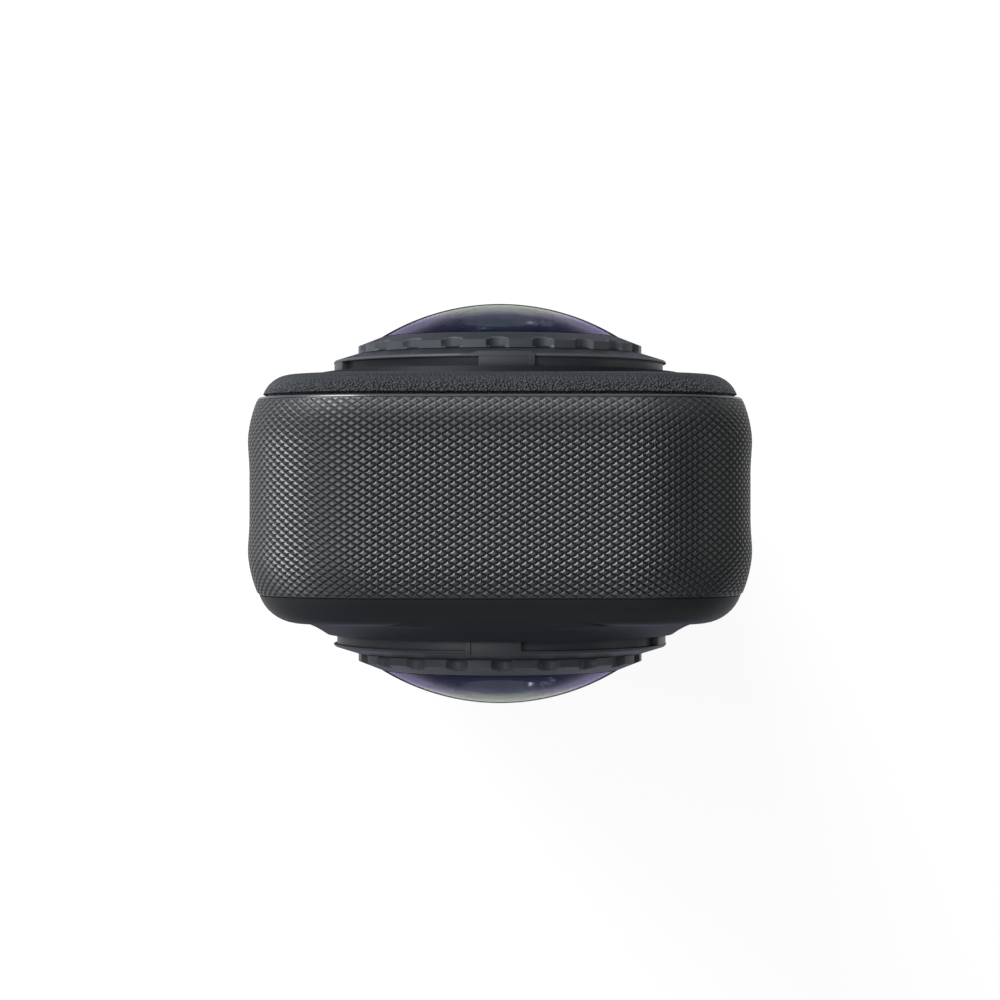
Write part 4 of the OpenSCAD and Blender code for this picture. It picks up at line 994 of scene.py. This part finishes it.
def sideButtonPiece(name, rider, node):
    part = sideButton
    lowest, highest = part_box(node)
    y, z = (lowest.y + highest.y) / 2 / mm, (lowest.z + highest.z) / 2 / mm
    width, length = part["width"], part["length"]
    levels = [(part["stem"], part["stem"], part["foot"]), (part["stem"], part["stem"], part["rimFrom"])]
    levels += [(width + part["rim"], length + part["rim"], part[level]) for level in ("rimFrom", "rimTo")]
    levels += [(width, length, part["rimTo"])]
    levels += [(width - less, length - less, part["top"] - down) for less, down in part["face"]]
    bm = bmesh.new()
    rings = [pillRing(bm, wide, tall, x, y, z) for wide, tall, x in levels]
    for lower, upper in zip(rings, rings[1:]):
        for k in range(len(lower)):
            bm.faces.new((lower[k - 1], lower[k], upper[k], upper[k - 1]))
    bm.faces.new(rings[0])
    bm.faces.new(rings[-1])
    bmesh.ops.remove_doubles(bm, verts=bm.verts, dist=1e-7)
    finished(outward(bm), name, "button", rider, [node])


sideButtonPiece("dishedPowerButton", "power", "power_button")
sideButtonPiece("dishedQuickButton", "quick", "quick_button")

latch = {
    "foot": 0.5, "thumb": 4.8, "edge": 0.2, "grooves": 6, "pitch": 1.1, "first": 0.8,
    "groove": [(0.0, 0.0), (0.36, 0.25), (0.36, 0.55), (0.0, 0.8)],  # depth, and height over its lower edge
}
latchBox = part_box("battery_latch")
out, inner, low, high = latchBox[0].x / mm, latchBox[1].x / mm - latch["foot"], latchLow[1], latchHigh[1]
profile = [(inner, low), (out + latch["edge"], low), (out, low + latch["edge"])]
for k in range(latch["grooves"]):
    z = low + latch["first"] + latch["pitch"] * k
    profile += [(out + depth, z + up) for depth, up in latch["groove"]]
profile += [(out, high - latch["edge"]), (out + latch["edge"], high), (inner, high)]
bm = bmesh.new()
start = latchMiddle - latch["thumb"] / 2
bm.faces.new([bm.verts.new((x * mm, start * mm, z * mm)) for x, z in profile])
drawn = bmesh.ops.extrude_face_region(bm, geom=bm.faces[:], use_keep_orig=True)["geom"]
bmesh.ops.translate(bm, vec=(0, latch["thumb"] * mm, 0), verts=vertsOf(drawn))
softened(outward(bm), 0.05)
foot = bmesh.new()
bmesh.ops.create_cube(foot, size=1.0)
footSize = (latch["foot"] * mm, (latchHigh[0] - latchLow[0]) * mm, (high - low) * mm)
footPlace = ((inner + latch["foot"] / 2) * mm, latchMiddle * mm, (low + high) / 2 * mm)
bmesh.ops.scale(foot, vec=footSize, verts=foot.verts)
bmesh.ops.translate(foot, vec=footPlace, verts=foot.verts)
finished(joinedBm(bm, outward(foot)), "ribbedLatch", "button", "latch", ["battery_latch"])

insert = {"radius": 4.8, "height": 6.75, "edge": 0.15, "bore": 3.18, "depth": 5.75, "mouth": 3.5, "chamfer": 0.3}
thread = {
    "root": 3.3, "crest": 2.76, "half": 0.52, "flat": 0.09,
    "pitch": 1.27, "first": 0.75, "turns": 3.25, "steps": 48,
}
bm = turned([
    (insert["mouth"], 0.0), (insert["radius"] - insert["edge"], 0.0), (insert["radius"], insert["edge"]),
    (insert["radius"], insert["height"]), (0.0, insert["height"]),
    (0.0, insert["depth"]), (insert["bore"], insert["depth"]), (insert["bore"], insert["chamfer"]),
], 120, centre=(0.0, 0.0))
helix = bmesh.new()
section = [
    (thread["root"], -thread["half"]), (thread["crest"], -thread["flat"]),
    (thread["crest"], thread["flat"]), (thread["root"], thread["half"]),
]
helix.faces.new([helix.verts.new((radius * mm, (thread["first"] + rise) * mm, 0)) for radius, rise in section])
bmesh.ops.spin(helix, geom=helix.faces[:], cent=(0, 0, 0), axis=(0, 1, 0), angle=2 * math.pi * thread["turns"],
               steps=round(thread["steps"] * thread["turns"]), dvec=(0, thread["pitch"] / thread["steps"] * mm, 0))
joinedBm(bm, outward(helix))
bmesh.ops.rotate(bm, cent=(0, 0, 0), matrix=Matrix.Rotation(math.pi / 2, 3, "X"), verts=bm.verts)
finished(bm, "threadedInsert", "brass", "camera_body", ["tripod_insert"])
print("buttons, latch and insert built")


# Stage: floor, backdrop light and camera

stage = {
    "cameraRise": 245.0,  # above the top of the body
    "cameraShift": 0.33,  # towards the front lens
    "lens": 101.4,
    "ambient": 0.26,
    "floor": -0.0005,
    "floorHalf": 3.0,
    "glow": 0.9,  # share of white in the floor near the object, the rest is lit and keeps the shadow
    "glowFrom": 0.15,  # from here the floor goes over to pure white, in metres
    "glowTo": 0.6,
    "aim": (0, 0, 0.1),  # where the lamps point
}


def seenBy(tree, *rays):
    # 1 for these kinds of rays and 0 for the rest
    path = tree.nodes.new("ShaderNodeLightPath")
    return calc(tree, "MINIMUM", sum(Wire(tree, path.outputs[ray]) for ray in rays), 1.0)


world = bpy.data.worlds.new("studio")
scene.world = world
world.use_nodes = True
backdrop = world.node_tree.nodes["Background"]
backdrop.inputs["Color"].default_value = (1.0, 1.0, 1.0, 1.0)
shown = seenBy(world.node_tree, "Is Camera Ray", "Is Glossy Ray", "Is Transmission Ray")
level = shown * (1 - stage["ambient"]) + stage["ambient"]  # white where it shows, and dimmer as a light
world.node_tree.links.new(level.socket, backdrop.inputs["Strength"])

bm = bmesh.new()
bmesh.ops.create_grid(bm, x_segments=2, y_segments=2, size=stage["floorHalf"])
bmesh.ops.translate(bm, vec=(0, 0, stage["floor"]), verts=bm.verts)
pale = Finish("paleFloor", Roughness=0.9, Specular_IOR_Level=0.0, Base_Color=(0.92, 0.92, 0.92, 1.0))
glow = pale.add("ShaderNodeEmission", {}, {"Color": (1.0, 1.0, 1.0, 1.0)})
away = pale.add("ShaderNodeVectorMath", {"operation": "LENGTH"}, {0: pale.place}, "Value")
share = pale.ramp(away, (stage["glowFrom"], stage["glow"]), (stage["glowTo"], 1.0))
lit = pale.blend(seenBy(pale.tree, "Is Camera Ray", "Is Glossy Ray") * share, glow)
below = pale.add("ShaderNodeNewGeometry", {}, {}, "Backfacing")
pale.blend(below, pale.add("ShaderNodeBsdfTransparent", {}, {}), lit)  # clear from below
floor = placed(bm, "floor", pale.material)

lamps = [  # size and place in metres, power in watts
    {"name": "keyLamp", "place": (-0.42, 0.66, 0.4), "size": 0.48, "power": 18.2},
    {"name": "fillLamp", "place": (-0.35, 0.05, 0.85), "size": 0.6, "power": 6.0},
    {"name": "rimLamp", "place": (0.8, 0.0, 0.05), "size": 0.3, "power": 2.5},
]
for lamp in lamps:
    light = bpy.data.lights.new(lamp["name"], "AREA")
    light.energy = lamp["power"]
    light.size = lamp["size"]
    holder = bpy.data.objects.new(lamp["name"], light)
    holder.location = lamp["place"]
    holder.rotation_mode = "QUATERNION"
    holder.rotation_quaternion = (Vector(stage["aim"]) - holder.location).to_track_quat("-Z", "Y")
    scene.collection.objects.link(holder)
    if lamp["name"] == "keyLamp":  # kept off the glass, as with a flag in a studio
        shaded = bpy.data.collections.new("keyShaded")
        for piece in scene.objects:
            if piece.name.endswith(("DomeGlass", "Element")):
                shaded.objects.link(piece)
        for entry in shaded.collection_objects:
            entry.light_linking.link_state = "EXCLUDE"
        holder.light_linking.receiver_collection = shaded

cards = [  # soft-edged cards, seen only in reflections, in metres: the first shades the right side
    {
        "name": "sideCard", "size": (0.6, 0.8), "places": [(0.25, 0.0, 0.2)], "tilt": math.pi / 2,
        "shade": (0.01, 0.01, 0.01), "fade": 0.7,
    },
    {  # these lie before both lenses, the lowest first
        "name": "lensCard", "size": (0.3, 0.33), "places": [(0.0, 0.21, 0.0)],
        "shade": (0.17, 0.19, 0.29), "fade": 0.5,
    },
    {
        "name": "greenCard", "size": (0.05, 0.07), "places": [(0.0, 0.072, 0.0003)],
        "shade": (0.8, 0.88, 0.72), "fade": 0.1,
    },
    {
        "name": "violetCard", "size": (0.042, 0.056), "places": [(-0.034, 0.062, 0.0006), (0.034, 0.062, 0.0006)],
        "shade": (0.54, 0.52, 0.83), "fade": 0.3,
    },
    {
        "name": "rimCard", "size": (0.12, 0.036), "places": [(0.0, 0.034, 0.0009)],
        "shade": (0.03, 0.035, 0.035), "fade": 0.45,
    },
]


def cardPiece(card, name, place):
    # a card whose edge fades to clear from the given share of its half size
    bm = bmesh.new()
    bmesh.ops.create_grid(bm, x_segments=24, y_segments=24, size=1.0)
    edge = bm.verts.layers.float.new("edge")
    for vert in bm.verts:
        vert[edge] = smoothStep(card["fade"], 1.0, max(abs(vert.co.x), abs(vert.co.y)))
    bmesh.ops.scale(bm, vec=(card["size"][0] / 2, card["size"][1] / 2, 1), verts=bm.verts)
    bmesh.ops.rotate(bm, cent=(0, 0, 0), matrix=Matrix.Rotation(card.get("tilt", 0.0), 3, "Y"), verts=bm.verts)
    bmesh.ops.translate(bm, vec=place, verts=bm.verts)
    paper = Finish(name + "Paper", Specular_IOR_Level=0.0, Emission_Strength=1.0)
    paper.feed(Base_Color=(0.0, 0.0, 0.0, 1.0), Emission_Color=(*card["shade"], 1.0))
    fade = paper.add("ShaderNodeAttribute", {"attribute_name": "edge"}, {}, "Fac")
    paper.blend(fade, paper.add("ShaderNodeBsdfTransparent", {}, {}))
    holder = placed(bm, name, paper.material)
    for rays in ("camera", "shadow", "diffuse", "transmission"):
        setattr(holder, "visible_" + rays, False)


for card in cards:
    for k, (x, y, z) in enumerate(card["places"]):
        cardPiece(card, card["name"] + str(k), (x, y, z))
        if y:
            cardPiece(card, card["name"] + str(k) + "Rear", (x, -y, z))

view = bpy.data.cameras.new("camera")
view.lens = stage["lens"]
view.sensor_width = 36.0
view.clip_start, view.clip_end = 0.01, 20.0
camera = bpy.data.objects.new("camera", view)
camera.location = (0, stage["cameraShift"] * mm, (body["height"] + stage["cameraRise"]) * mm)
scene.collection.objects.link(camera)
scene.camera = camera
scene.view_settings.view_transform = "Standard"
print("stage set")
